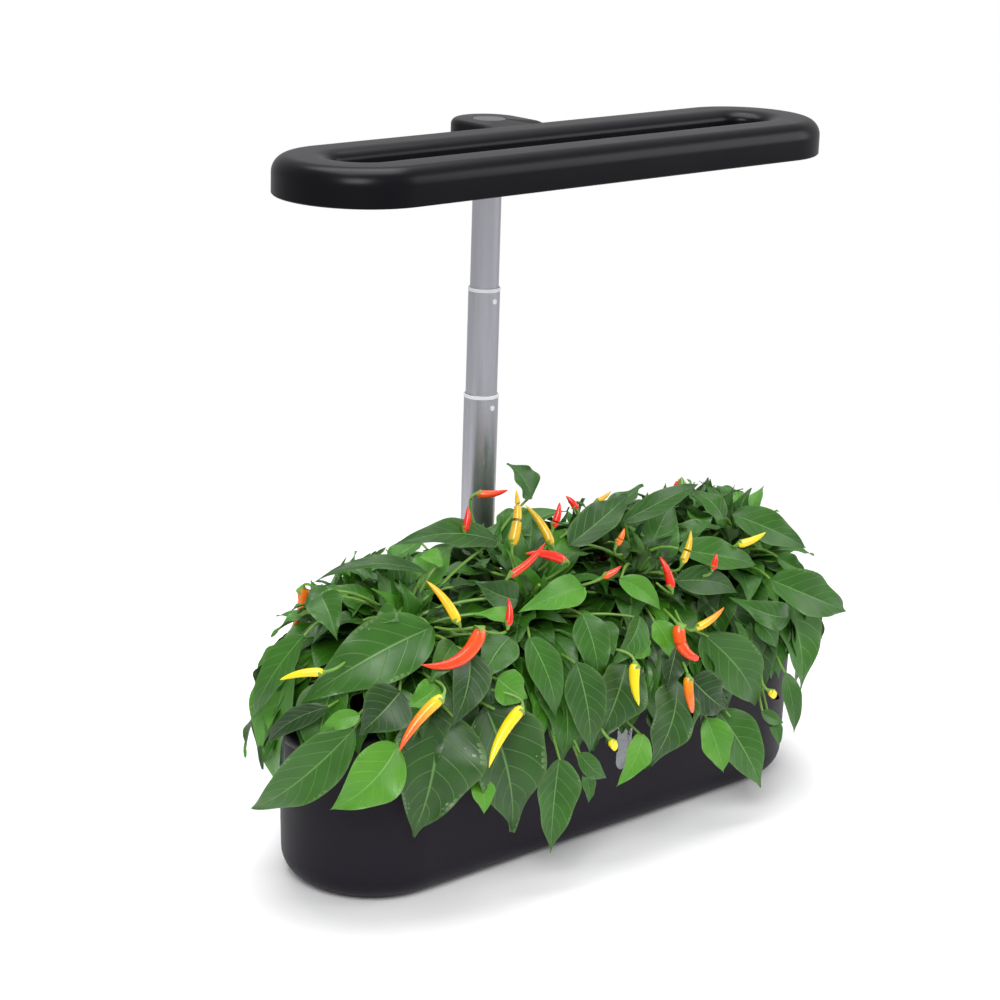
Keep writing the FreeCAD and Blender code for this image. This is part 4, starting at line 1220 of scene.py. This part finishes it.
@dataclass(frozen=True)
class Clearance:
    """What leaves, stems and fruit keep off, in mm: the deck with its rim, and the pole behind."""

    rim_out: float = 69.5
    rim_top: float = 121.0
    rim_run: float = 149.5
    pole_half: float = 28.0
    pole_front: float = 61.0
    lowest: float = 20.0
    point_margin: float = 0.3
    leaf_margin: float = 0.5
    trunk_out: float = 45.0
    trunk_above: float = 3.0

    def _past_run(self, x: Array) -> Array:
        """How far places lie past the rim's straight run, with their sign."""
        return np.sign(x) * np.maximum(np.abs(x) - self.rim_run, 0)

    def points(self, spots: Array, spare: Array | float = 0.0) -> Array:
        """Move points off the deck, the rim and the pole, and back inside the CAD's box.

        A point under the rim's top and over the deck goes up or outwards, whichever is nearer.

        Args:
            spots: points, in mm.
            spare: added to both limits, so that two leaves don't end on the same surface.

        Returns:
            The moved points.
        """
        x, y, z = (spots[..., k].copy() for k in range(3))
        beyond = self._past_run(x)
        away = np.hypot(beyond, y)
        up, out = self.rim_top + spare - z, self.rim_out + spare - away
        inside = (up > 0) & (out > 0)
        push = inside & (out < up)
        z = np.where(inside & ~push, self.rim_top + spare, z)
        grow = np.where(push, (self.rim_out + spare) / np.maximum(away, 1.0), 1.0)
        x = x + beyond * (grow - 1)
        y = y * grow
        y = np.where(np.abs(x) < self.pole_half, np.minimum(y, self.pole_front), y)
        low, high = BOX_MM[0] + self.point_margin, BOX_MM[1] - self.point_margin
        x, y = np.clip(x, low[0], high[0]), np.clip(y, low[1], high[1])
        return np.stack([x, y, np.maximum(z, self.lowest)], axis=-1)

    def stems(self, points: Array) -> Array:
        """Move the points of stems like any others, but let the trunk come out of its sponge.

        Args:
            points: n by 3, in mm.

        Returns:
            The moved points.
        """
        low = points[:, 2] < self.rim_top + self.trunk_above
        inner = np.hypot(self._past_run(points[:, 0]), points[:, 1]) < self.trunk_out
        return np.where((low & inner)[:, None], points, self.points(points))

    def leaves(self, spots: Array) -> Array:
        """Move each whole leaf back sideways by as much as it sticks out of the CAD's box.

        Args:
            spots: leaves by rows by points by 3, in mm.

        Returns:
            The moved leaves.
        """
        over = np.maximum(spots.max(axis=(1, 2)) + self.leaf_margin - BOX_MM[1], 0)
        short = np.maximum(BOX_MM[0] + self.leaf_margin - spots.min(axis=(1, 2)), 0)
        over[:, 2] = short[:, 2] = 0
        return spots + (short - over)[:, None, None]


@dataclass(frozen=True)
class FillerForm:
    """How leaves that the photo doesn't single out stand about a stem; mm, radians and shares."""

    count: int = 54
    climb: tuple[float, float] = (-0.5, 1.4)
    climb_play: float = 0.1
    fork_height: float = 36.0
    search: tuple[float, float] = (8.0, 150.0)
    farthest: float = 98.0
    front_share: float = 0.90
    back_share: float = 0.98
    reach_share: tuple[float, float] = (0.84, 1.0)
    length: tuple[float, float] = (34, 66)
    heel_share: float = 0.95
    heel_least: float = 6.0
    heel_lift: float = 0.35
    droop: float = 10.0
    droop_share: tuple[float, float] = (0.3, 1.2)
    face_up: float = 0.9
    face_play: float = 0.25
    half_share: tuple[float, float] = (0.22, 0.31)


@dataclass(frozen=True)
class SkirtForm:
    """How leaves hang over the rim by a plant; lengths in mm, the turn in degrees for each mm."""

    count: int = 20
    spread: float = 54.0
    spread_play: float = 5.0
    pole_gap: float = 46.0
    squeeze: float = 0.3
    turn_per_mm: float = 1.9
    turn_most: float = 92.0
    heel_out: tuple[float, float] = (50, 62)
    heel_height: tuple[float, float] = (128, 152)
    tip_out: tuple[float, float] = (74, 81)
    tip_play: float = 6.0
    tip_height: tuple[float, float] = (72, 112)
    face_up: float = 0.35
    face_play: float = 0.2
    half_share: tuple[float, float] = (0.25, 0.33)


@dataclass(frozen=True)
class BladeForm:
    """The form of a leaf blade; thick, usual_half and spare in mm, the rest powers and shares."""

    rows: int = 26
    columns: int = 13
    thick: float = 0.35
    belly: float = 0.7
    fullness: float = 0.9
    point: float = 0.25
    heel_wide: float = 0.012
    usual_half: float = 15.0
    arch: tuple[float, float] = (0.05, 0.13)
    fold: tuple[float, float] = (0.12, 0.42)
    wave: tuple[float, float] = (0.5, 2.2)
    bend: tuple[float, float] = (-0.08, 0.08)
    curl: tuple[float, float] = (0.0, 0.12)
    waves: float = 2.4
    wave_skew: float = 1.4
    cushion: float = 0.16
    spare: tuple[float, float] = (0, 5)
    sharp_deg: float = 60.0

    def outline(self, s: Array) -> Array:
        """Half widths sin(pi s^belly)^fullness (1 - s)^point, scaled to reach 1, and a heel."""
        shape = np.sin(np.pi * s ** self.belly).clip(0) ** self.fullness * (1 - s) ** self.point
        return shape / shape.max() + self.heel_wide


@dataclass(frozen=True)
class StemForm:
    """A plant's trunk, forks, petioles, fruit stalks and fruit caps, in mm and degrees."""

    steps: int = 8
    trunk_pull: tuple[float, float, float] = (3.0, 0.0, 18.0)
    trunk_top: tuple[float, float, float] = (2.0, -2.0, 34.0)
    trunk_radii: tuple[float, float] = (3.4, 2.5)
    fork_turns: tuple[float, float, float] = (20.0, 140.0, 260.0)
    fork_reach: tuple[float, float, float] = (24.0, 16.0, 34.0)
    fork_pull: float = 18.0
    fork_radii: tuple[float, float] = (2.3, 1.1)
    petiole_heights: tuple[float, float] = (14.0, 62.0)
    petiole_drop: float = 8.0
    petiole_lean: float = 0.12
    petiole_pull: float = 9.0
    petiole_into: float = 1.5
    petiole_radii: tuple[float, float] = (1.2, 0.8)
    petiole_sides: int = 6
    stalk_steps: int = 9
    stalk_rise: float = 9.0
    stalk_aim: float = 50.0
    stalk_reach: float = 22.0
    stalk_radii: tuple[float, float] = (1.0, 0.8)
    cap_pulls: tuple[float, float] = (2.6, 2.2)
    cap_shares: tuple[float, ...] = (0.96, 0.9, 0.72, 0.5, 0.28)
    cap_wall: float = 0.25
    cap_sides: int = 12


@dataclass(frozen=True)
class FruitForm:
    """Chilli pods, and how those behind the photo's view hang; mm, degrees and shares."""

    steps: int = 18
    sides: int = 14
    taper: float = 2.2
    bluntness: float = 0.8
    crown_share: float = 0.72
    crown_growth: float = 3.5
    tip_share: float = 0.03
    proud: tuple[float, float] = (12.0, 17.0)
    behind: int = 3
    heading: tuple[float, float] = (45, 135)
    reach: tuple[float, float] = (38, 50)
    height: tuple[float, float] = (18, 78)
    swing: float = 9.0
    length: tuple[float, float] = (24, 36)
    radius: tuple[float, float] = (3.2, 4.4)
    bend: tuple[float, float] = (-0.15, 0.15)
    ripeness: tuple[float, ...] = (0.12, 0.27, 0.6, 1.0)


@dataclass(frozen=True)
class Crop:
    """Eight chilli plants, with leaves and fruit as in the photo and more where it shows none."""

    camera: PhotoCamera
    mound: Mound
    clearance: Clearance = Clearance()
    filler: FillerForm = FillerForm()
    skirt: SkirtForm = SkirtForm()
    blade: BladeForm = BladeForm()
    stem: StemForm = StemForm()
    pod: FruitForm = FruitForm()
    seed: int = 11
    leaf_slack: float = 0.9
    fruit_slack: float = 0.3
    face_out: float = 0.55
    face_camera: float = 0.45
    face_play: float = 0.22
    tilt_allowance: float = 1.24
    heel_sunk: float = 4.0
    tone_play: float = 0.06
    other_tones: tuple[float, ...] = (0.16, 0.34, 0.54, 0.7, 1.0)
    tone_odds: tuple[float, ...] = (0.14, 0.28, 0.28, 0.18, 0.12)

    def build(self) -> None:
        """Make each plant's leaves, stems and fruit."""
        rng = np.random.default_rng(self.seed)
        boxes = [extent("grow_sponge_%d" % number) for number in PLANTS]
        roots = np.array([(low + high) / 2 / MM for low, high in boxes])
        roots[:, 2] = [high[2] / MM for _, high in boxes]
        seen, fruit = self._seen_leaves(rng), self._seen_fruit()
        owner = self._nearest((seen.heel + seen.tip) / 2, roots)
        fruit_owner = self._nearest(fruit[:, 0], roots)
        for index, root in enumerate(roots):
            plant = "plant_%d" % PLANTS[index]
            leaves = seen.pick(owner == index).with_more(self._filler(root, rng))
            leaves = leaves.with_more(self._skirt_leaves(root, rng))
            fruits = np.concatenate([fruit[fruit_owner == index], self._hidden_fruit(root, rng)])
            self._blades(leaves, rng).build(plant + "_leaves", Finish.LEAF, Body.DECK, "plant",
                                            ("chilli_" + plant,), self.blade.sharp_deg)
            self._stems(root, leaves, fruits).build(plant + "_stems", Finish.STEM, Body.DECK,
                                                    "plant")
            if len(fruits):
                self._fruits(fruits).build(plant + "_fruit", Finish.FRUIT, Body.DECK, "plant")

    @staticmethod
    def _nearest(spots: Array, roots: Array) -> Array:
        """The number of the plant whose root is nearest in plan, for each spot."""
        return np.linalg.norm(spots[:, None, :2] - roots[None, :, :2], axis=2).argmin(axis=1)

    def _px_to_mm(self, spots: Array) -> Array:
        """Millimetres that one photo pixel spans at some points."""
        return np.linalg.norm(spots - np.array(self.camera.place), axis=1) / self.camera.focal_px

    def _as_long_as_seen(self, start: Array, pixels: Array, slack: float) -> Array:
        """Find ends on the mound, not much deeper or nearer than the photo's length allows.

        Args:
            start: where each piece starts, n by 3.
            pixels: where each piece ends in the photo, n by 2.
            slack: the most change of depth, as a share of the length across the picture.

        Returns:
            The ends, n by 3.
        """
        place = np.array(self.camera.place)
        ray = self.camera.rays(pixels)
        depth = np.linalg.norm(start - place, axis=1)
        seen = np.linalg.norm(place + ray * depth[:, None] - start, axis=1)
        reach = np.linalg.norm(self.mound.seen_at(self.camera, pixels) - place, axis=1)
        reach = np.clip(reach, depth - slack * seen, depth + slack * seen)
        return place + ray * reach[:, None]

    def _seen_leaves(self, rng: np.random.Generator) -> Leaves:
        """Put the photo's leaves on the mound, heel a little inside it and tip on it.

        Args:
            rng: the crop's seeded draws.

        Returns:
            The leaves, in the table's order.
        """
        heel_px, tip_px = (np.array(column, float) for column in
                           zip(*((leaf.heel, leaf.tip) for leaf in PHOTO_LEAVES)))
        heel = self.mound.seen_at(self.camera, heel_px)
        tip = self._as_long_as_seen(heel, tip_px, self.leaf_slack)
        middle = (heel + tip) / 2
        out, back = self.mound.outward(middle), self.camera.axes()[2]
        lean = unit(rng.normal(size=heel.shape))
        facing = unit(self.face_out * out + self.face_camera * back + self.face_play * lean)
        half = np.array([leaf.width for leaf in PHOTO_LEAVES]) / 2 * self._px_to_mm(middle)
        tone = np.array([TONES[leaf.look] for leaf in PHOTO_LEAVES])
        tone = tone + rng.uniform(-self.tone_play, self.tone_play, len(tone))
        sunk = self.camera.rays(heel_px) * self.heel_sunk
        return Leaves(heel + sunk, tip, facing, half * self.tilt_allowance, tone)

    def _filler(self, root: Array, rng: np.random.Generator) -> Leaves:
        """Fill a plant's share of the mound, from hanging leaves to upright ones.

        Each runs from about half way between the stem and the mound's surface to nearly the
        surface. Headings turn by the golden angle, and a leaf droops more the flatter it leaves
        the stem.

        Args:
            root: the middle of the plant's sponge, at its top.
            rng: the crop's seeded draws.

        Returns:
            The leaves.
        """
        form, count = self.filler, self.filler.count
        heading = GOLDEN_TURN * np.arange(count) + rng.uniform(0, FULL_TURN)
        climb = np.linspace(*form.climb, count) + rng.uniform(-form.climb_play, form.climb_play,
                                                              count)
        flat = np.cos(climb)
        way = np.column_stack([np.cos(heading) * flat, np.sin(heading) * flat, np.sin(climb)])
        start = root + [0.0, 0.0, form.fork_height]
        reach = np.arange(*form.search)
        level = self.mound.level(start + way[:, None] * reach[None, :, None])
        far = reach[(level < 1).sum(axis=1).clip(0, len(reach) - 1)]
        far = np.minimum(far, form.farthest)
        share = np.where(way @ self.camera.axes()[2] > 0, form.front_share, form.back_share)
        tip = start + way * (far * share * rng.uniform(*form.reach_share, count))[:, None]
        length = rng.uniform(*form.length, count)
        inner = np.clip(far * form.heel_share - length, form.heel_least, None)
        heel = start + unit(way + [0.0, 0.0, form.heel_lift]) * inner[:, None]
        tip[:, 2] -= form.droop * flat * rng.uniform(*form.droop_share, count)
        up = np.array([0.0, 0.0, form.face_up]) * flat[:, None]
        facing = unit(way + up + form.face_play * rng.normal(size=way.shape))
        half = np.linalg.norm(tip - heel, axis=1) * rng.uniform(*form.half_share, count)
        return Leaves(heel, tip, facing, half, self._tones(count, rng))

    def _tones(self, count: int, rng: np.random.Generator) -> Array:
        """Draw tones for leaves that the photo doesn't settle: mostly dark, a few young."""
        return rng.choice(self.other_tones, count, p=self.tone_odds)

    def _skirt_leaves(self, root: Array, rng: np.random.Generator) -> Leaves:
        """Hang leaves over the rim, just inside the mound.

        A leaf starts over the rim at a place along the tank's middle line. Past the line's end it
        turns with the round end instead. At the back the leaves part for the pole.

        Args:
            root: the middle of the plant's sponge, at its top.
            rng: the crop's seeded draws.

        Returns:
            The leaves.
        """
        form, count, row = self.skirt, self.skirt.count, np.sign(root[1])
        along = root[0] + np.linspace(-form.spread, form.spread, count) \
            + rng.uniform(-form.spread_play, form.spread_play, count)
        if row > 0:
            aside = form.pole_gap * np.where(along >= 0, 1.0, -1.0) + form.squeeze * along
            along = np.where(np.abs(along) < form.pole_gap, aside, along)
        run = self.mound.half_run
        past = np.maximum(np.abs(along) - run, 0)
        turn = np.radians(np.minimum(past * form.turn_per_mm, form.turn_most))
        level = np.zeros(count)
        out = np.column_stack([np.sign(along) * np.sin(turn), row * np.cos(turn), level])
        middle = np.column_stack([np.clip(along, -run, run), level, level])
        heel = middle + out * rng.uniform(*form.heel_out, count)[:, None]
        heel[:, 2] = rng.uniform(*form.heel_height, count)
        tip = middle + out * rng.uniform(*form.tip_out, count)[:, None] \
            + rng.uniform(-form.tip_play, form.tip_play, (count, 3))
        tip[:, 2] = rng.uniform(*form.tip_height, count)
        facing = unit(out + [0.0, 0.0, form.face_up] + form.face_play * rng.normal(size=out.shape))
        half = np.linalg.norm(tip - heel, axis=1) * rng.uniform(*form.half_share, count)
        return Leaves(heel, tip, facing, half, self._tones(count, rng))

    def _blades(self, leaves: Leaves, rng: np.random.Generator) -> Surface:
        """Make closed two-sided blades, all at once.

        Along a blade, s runs from 0 at the heel to 1 at the tip; across it, t runs from -1 to 1 on
        the upper skin and back on the lower one. The height over the straight line from heel to
        tip is an arch, less a curl that grows with the cube of s, a fold up from the midrib, a
        wave that grows with the cube of t, and soft cushions between the side veins.

        Args:
            leaves: heels, tips, facings, half widths and tones.
            rng: the crop's seeded draws.

        Returns:
            All the blades, with their map, tone and which skin a point is on.
        """
        form, count = self.blade, len(leaves.heel)
        s = np.linspace(0, 1, form.rows)[None, :, None]
        top = np.linspace(-1, 1, form.columns)
        t = np.concatenate([top, top[-2:0:-1]])[None, None]
        under = np.concatenate([np.zeros(form.columns), np.ones(form.columns - 2)])
        outline = form.outline(s)
        run = leaves.tip - leaves.heel
        length = np.linalg.norm(run, axis=1)[:, None, None]
        ahead = unit(run)
        lengthwise = (leaves.facing * ahead).sum(axis=1, keepdims=True)
        normal = unit(leaves.facing - lengthwise * ahead)
        side = np.cross(ahead, normal)
        arch, fold, wave, phase, bend, curl = (
            rng.uniform(*span, count)[:, None, None] for span in
            (form.arch, form.fold, form.wave, (0, FULL_TURN), form.bend, form.curl))
        half = leaves.half_width[:, None, None]
        wide, size = half * outline * t, half / form.usual_half
        gaps = 2 * np.pi * SIDE_VEINS * (s - VEIN_LEAN * np.abs(t) ** VEIN_CURVE)
        cushion = np.cos(gaps) * np.abs(t) * (1 - t * t)
        sway = np.sin(FULL_TURN * (form.waves * s) + phase + form.wave_skew * np.sign(t))
        lift = length * (4 * arch * s * (1 - s) - curl * s ** 3) + fold * np.abs(wide)
        lift = lift + wave * size * np.abs(t) ** 3 * sway
        lift = lift + form.cushion * size * cushion * outline
        across = wide + bend * length * 4 * s * (1 - s)
        spots = leaves.heel[:, None, None] + ahead[:, None, None] * (length * s)[..., None] \
            + side[:, None, None] * across[..., None] + normal[:, None, None] * lift[..., None]
        spare = rng.uniform(*form.spare, count)[:, None, None]
        spots = self.clearance.points(self.clearance.leaves(spots), spare)
        drop = form.thick * under * np.sqrt(1 - t[0, 0] ** 2)
        spots = spots - normal[:, None, None] * drop[None, None, :, None]
        shape = (count, form.rows, t.shape[-1])
        uv = np.stack([np.broadcast_to(s, shape), np.broadcast_to((t + 1) / 2, shape)], axis=-1)
        values = {"tone": np.broadcast_to(leaves.tone[:, None, None], shape).ravel(),
                  "under": np.broadcast_to(under, shape).ravel()}
        return Surface(spots.reshape(-1, 3) * MM, hose_faces(*shape), uv.reshape(-1, 2), values)

    def _stems(self, root: Array, leaves: Leaves, fruits: Array) -> Surface:
        """Make the trunk with its forks, a petiole to each leaf, and each fruit's stalk and cap.

        Args:
            root: the middle of the plant's sponge, at its top.
            leaves: the plant's leaves.
            fruits: the plant's fruits, as _seen_fruit gives them.

        Returns:
            All of the plant's stems.
        """
        form, steps = self.stem, self.stem.steps
        head = root + form.trunk_top
        trunk = curve(root[None], (root + form.trunk_pull)[None], head[None], steps)
        turn, forks = np.radians(form.fork_turns), len(form.fork_turns)
        fork_end = head + np.column_stack([np.cos(turn), np.sin(turn), np.ones(forks)]) \
            * form.fork_reach
        fork_head = np.repeat(head[None], forks, 0)
        fork = curve(fork_head, fork_head + [0.0, 0.0, form.fork_pull], fork_end, steps)
        start = np.repeat(root[None], len(leaves.heel), 0)
        low, high = (root[2] + height for height in form.petiole_heights)
        start[:, 2] = np.clip(leaves.heel[:, 2] - form.petiole_drop, low, high)
        start[:, :2] += form.petiole_lean * (leaves.heel - start)[:, :2]
        pull = 0.5 * (start + leaves.heel) + [0.0, 0.0, form.petiole_pull]
        end = leaves.heel + form.petiole_into * unit(leaves.tip - leaves.heel)
        parts = [tubes(trunk, taper(form.trunk_radii, steps)),
                 tubes(fork, taper(form.fork_radii, steps, forks)),
                 tubes(curve(start, pull, end, steps), taper(form.petiole_radii, steps, len(start)),
                       form.petiole_sides)]
        if len(fruits):
            parts += self._stalks(root, fruits)
        whole = merge(parts)
        return Surface(self.clearance.stems(whole.points) * MM, whole.faces)

    def _stalks(self, root: Array, fruits: Array) -> list[Surface]:
        """Make a curved stalk and a small green cap for each fruit.

        Args:
            root: the middle of the plant's sponge, at its top.
            fruits: the plant's fruits, as _seen_fruit gives them.

        Returns:
            The stalks and the caps.
        """
        form = self.stem
        crown, tip, radius = fruits[:, 0], fruits[:, 1], fruits[:, 2, 0]
        down = unit(tip - crown)
        end = crown + form.stalk_reach * unit(root + [0.0, 0.0, form.stalk_aim] - crown)
        stalk = curve(crown - down, crown - form.stalk_rise * down, end, form.stalk_steps)
        over, above = form.cap_pulls
        cap = curve(crown + over * down, crown + down, crown - above * down, len(form.cap_shares))
        cap_radii = radius[:, None] * np.array(form.cap_shares)[None] + form.cap_wall
        return [tubes(stalk, taper(form.stalk_radii, form.stalk_steps, len(crown)),
                      form.petiole_sides),
                tubes(cap, cap_radii, form.cap_sides)]

    def _seen_fruit(self) -> Array:
        """Put the photo's chillies in front of the mound.

        Returns:
            For each its crown, its tip, (radius, bend, 0) and (ripeness at each end, 0).
        """
        crown_px, tip_px = (np.array(column, float) for column in
                            zip(*((fruit.crown, fruit.tip) for fruit in PHOTO_FRUITS)))
        crown = self.mound.seen_at(self.camera, crown_px)
        tip = self._as_long_as_seen(crown, tip_px, self.fruit_slack)
        radius = np.array([fruit.width for fruit in PHOTO_FRUITS]) / 2 * self._px_to_mm(crown)
        size = np.column_stack([radius, [fruit.bend for fruit in PHOTO_FRUITS],
                                np.zeros(len(radius))])
        ripe = np.array([(*fruit.ripe, 0.0) for fruit in PHOTO_FRUITS])
        at_crown, at_tip = (proud * self.camera.axes()[2] for proud in self.pod.proud)
        return np.stack([crown + at_crown, tip + at_tip, size, ripe], axis=1)

    def _hidden_fruit(self, root: Array, rng: np.random.Generator) -> Array:
        """Hang a few chillies behind the back row, which the photo doesn't show.

        Args:
            root: the middle of the plant's sponge, at its top.
            rng: the crop's seeded draws.

        Returns:
            Fruits as _seen_fruit gives them, and none for a plant of the front row.
        """
        if root[1] < 0:
            return np.zeros((0, 4, 3))
        form, count = self.pod, self.pod.behind
        heading = np.radians(rng.uniform(*form.heading, count))
        reach = rng.uniform(*form.reach, count)
        ways = np.column_stack([np.cos(heading), np.sin(heading)])
        crown = root + np.column_stack([reach[:, None] * ways, rng.uniform(*form.height, count)])
        tip = crown + np.column_stack([form.swing * ways, -rng.uniform(*form.length, count)])
        size = np.column_stack([rng.uniform(*form.radius, count), rng.uniform(*form.bend, count),
                                np.zeros(count)])
        ripe = rng.choice(form.ripeness, count)
        ripe = np.column_stack([ripe, ripe, np.zeros(count)])
        return np.stack([crown, tip, size, ripe], axis=1)

    def _fruits(self, fruits: Array) -> Surface:
        """Make tapered pods, a little bent.

        The radius is R * (1 - s^taper)^bluntness, drawn in at the crown, with s from 0 at the
        crown to 1 at the tip.

        Args:
            fruits: fruits as _seen_fruit gives them.

        Returns:
            All the pods, with their ripeness.
        """
        form = self.pod
        down = np.linspace(0, 1, form.steps)
        s = down[None, :, None]
        crown, tip, ripe = fruits[:, 0], fruits[:, 1], fruits[:, 3]
        run = tip - crown
        side = unit(np.cross(run, self.camera.axes()[2]))
        bow = (fruits[:, 2, 1] * np.linalg.norm(run, axis=1))[:, None]
        path = crown[:, None] + run[:, None] * s + (side * bow)[:, None] * 4 * s * (1 - s)
        neck = np.clip(form.crown_share + form.crown_growth * down, 0, 1)
        share = (1 - down ** form.taper).clip(0) ** form.bluntness * neck + form.tip_share
        ripeness = ripe[:, :1] + (ripe[:, 1:2] - ripe[:, :1]) * down[None]
        pods = tubes(path, fruits[:, 2, :1] * share[None], form.sides, {"ripeness": ripeness})
        return Surface(self.clearance.points(pods.points) * MM, pods.faces, None, pods.values)


CARRIED = {
    Finish.TANK_ABS: ("tank", "planting_deck", "fill_cap", "pole_socket", "power_jack"),
    Finish.RUBBER: ("rubber_feet", "window_gasket"),
    Finish.CLEAR: ("level_window",),
    Finish.ACETAL: ("lower_stud", "middle_stud"),
    Finish.OPAL: ("lamp_diffuser",),
    Finish.LAMP_ABS: ("arm_cover",),
}
DRESSED = {
    Finish.RUBBER: ("suction_cups",),
    Finish.TANK_ABS: ("pump_body", "pump_strainer", "pump_nozzle"),
    Finish.SPONGE: ("pump_sponge",),
    Finish.BOARD: ("led_board", "control_board"),
    Finish.PHOSPHOR: ("led_chips",),
}
POD_SHARP_DEG = 32.0


def build_carried() -> None:
    """Show the CAD's own pieces in their finishes."""
    for finish, nodes in CARRIED.items():
        for node in nodes:
            carry(node, finish)
    for finish, nodes in DRESSED.items():
        for node in nodes:
            PAINTS.dress_node(node, finish)
    for number in PLANTS:
        carry("pod_basket_%d" % number, Finish.TANK_ABS, POD_SHARP_DEG)
        carry("grow_sponge_%d" % number, Finish.SPONGE, POD_SHARP_DEG)


@dataclass(frozen=True)
class Surround:
    """A white studio for what the camera, gloss and glass see, and a softer one as light.

    Both colours are in linear light.
    """

    seen_white: Colour = (1.0, 1.0, 1.0, 1.0)
    soft_white: Colour = (0.98, 0.98, 1.0, 1.0)
    soft_strength: float = 0.45
    in_gloss: float = 0.18

    def build(self) -> None:
        """Make the world."""
        world = bpy.data.worlds.new("white_studio")
        world.use_nodes = True
        bpy.context.scene.world = world
        tree = world.node_tree
        tree.nodes.clear()
        ray = add_node(tree, "ShaderNodeLightPath").outputs
        direct = add_node(tree, MATH, {"operation": "MAXIMUM"}, ray["Is Camera Ray"],
                          ray["Is Transmission Ray"])
        gloss = add_node(tree, MATH, {"operation": "MULTIPLY"}, ray["Is Glossy Ray"], self.in_gloss)
        seen = add_node(tree, MATH, {"operation": "MAXIMUM"}, direct, gloss)
        soft, white = (
            add_node(tree, "ShaderNodeBackground", {}, {"Color": colour, "Strength": strength})
            for colour, strength in ((self.soft_white, self.soft_strength), (self.seen_white, 1.0)))
        mixed = add_node(tree, "ShaderNodeMixShader", {}, seen, soft, white)
        add_node(tree, "ShaderNodeOutputWorld", {}, mixed)


@dataclass(frozen=True)
class Floor:
    """A pale floor that fades into the white surround away from the garden."""

    half: float = 2.0
    drop: float = 0.2 * MM
    cloud_mm: float = 300.0
    colours: tuple[str, str] = ("f4f4f5", "f7f7f7")
    roughness: float = 0.6
    fade: tuple[float, float] = (0.34, 0.95)

    def build(self) -> None:
        """Make the floor and leave it out of the export."""
        corners = np.array([[-1, -1], [1, -1], [1, 1], [-1, 1]]) * self.half
        plan = np.column_stack([corners, np.full(len(corners), -self.drop)])
        mesh = bpy.data.meshes.new("studio_floor")
        mesh.from_pydata(plan.tolist(), [], [[0, 1, 2, 3]])
        mesh.materials.append(self._paper())
        floor = bpy.data.objects.new("studio_floor", mesh)
        bpy.context.collection.objects.link(floor)

    def _paper(self) -> Material:
        """Build matte white paper that grows clear between the two distances of the fade.

        Returns:
            The finished material.
        """
        material, tree, shader, place = start_material("paper_white_matte")
        cloud = add_node(tree, NOISE, {}, lumps(place, self.cloud_mm, 1.0))
        first, second = (srgb(code) for code in self.colours)
        shade = add_node(tree, MIX, RGBA, {0: cloud, A: first, B: second})
        plug(tree, shader, {"Base Color": shade.outputs[RESULT], "Roughness": self.roughness})
        away = add_node(tree, "ShaderNodeVectorMath", {"operation": "LENGTH"}, {0: place})
        fade = add_node(tree, "ShaderNodeMapRange", {"interpolation_type": "SMOOTHSTEP"},
                        {"Value": away.outputs["Value"], "From Min": self.fade[0],
                         "From Max": self.fade[1]})
        open_air = add_node(tree, "ShaderNodeBsdfTransparent")
        mixed = add_node(tree, "ShaderNodeMixShader", {}, fade, shader, open_air)
        plug(tree, tree.nodes["Material Output"], {"Surface": mixed})
        return material


@dataclass(frozen=True)
class SoftLight:
    """A square area light that looks at the crop."""

    name: str
    place: tuple[float, float, float]
    size: float
    watts: float
    aim: tuple[float, float, float] = (0.0, 0.0, 0.15)

    def build(self) -> None:
        """Add the light to the scene."""
        data = bpy.data.lights.new(self.name, "AREA")
        data.size = self.size
        data.energy = self.watts
        lamp = bpy.data.objects.new(self.name, data)
        lamp.location = self.place
        way = Vector(self.aim) - Vector(self.place)
        lamp.rotation_euler = way.to_track_quat("-Z", "Y").to_euler()
        bpy.context.collection.objects.link(lamp)


LIGHTS = (
    SoftLight("key_left", (-1.5, -1.4, 1.7), 1.1, 46.0),
    SoftLight("fill_right", (1.7, -1.3, 1.1), 1.4, 22.0),
    SoftLight("top", (0.1, 0.3, 2.1), 1.5, 44.0),
)


def main() -> None:
    """Build the garden, its stage and its lights."""
    logging.basicConfig(level=logging.INFO, format="%(name)s %(message)s")
    camera = PhotoCamera()
    build_carried()
    for part in (LampForm(), PoleForm(), Crop(camera, Mound()), Surround(), Floor(), *LIGHTS,
                 camera):
        part.build()
    bpy.context.scene.view_settings.view_transform = "Standard"


if __name__ == "__main__":
    main()
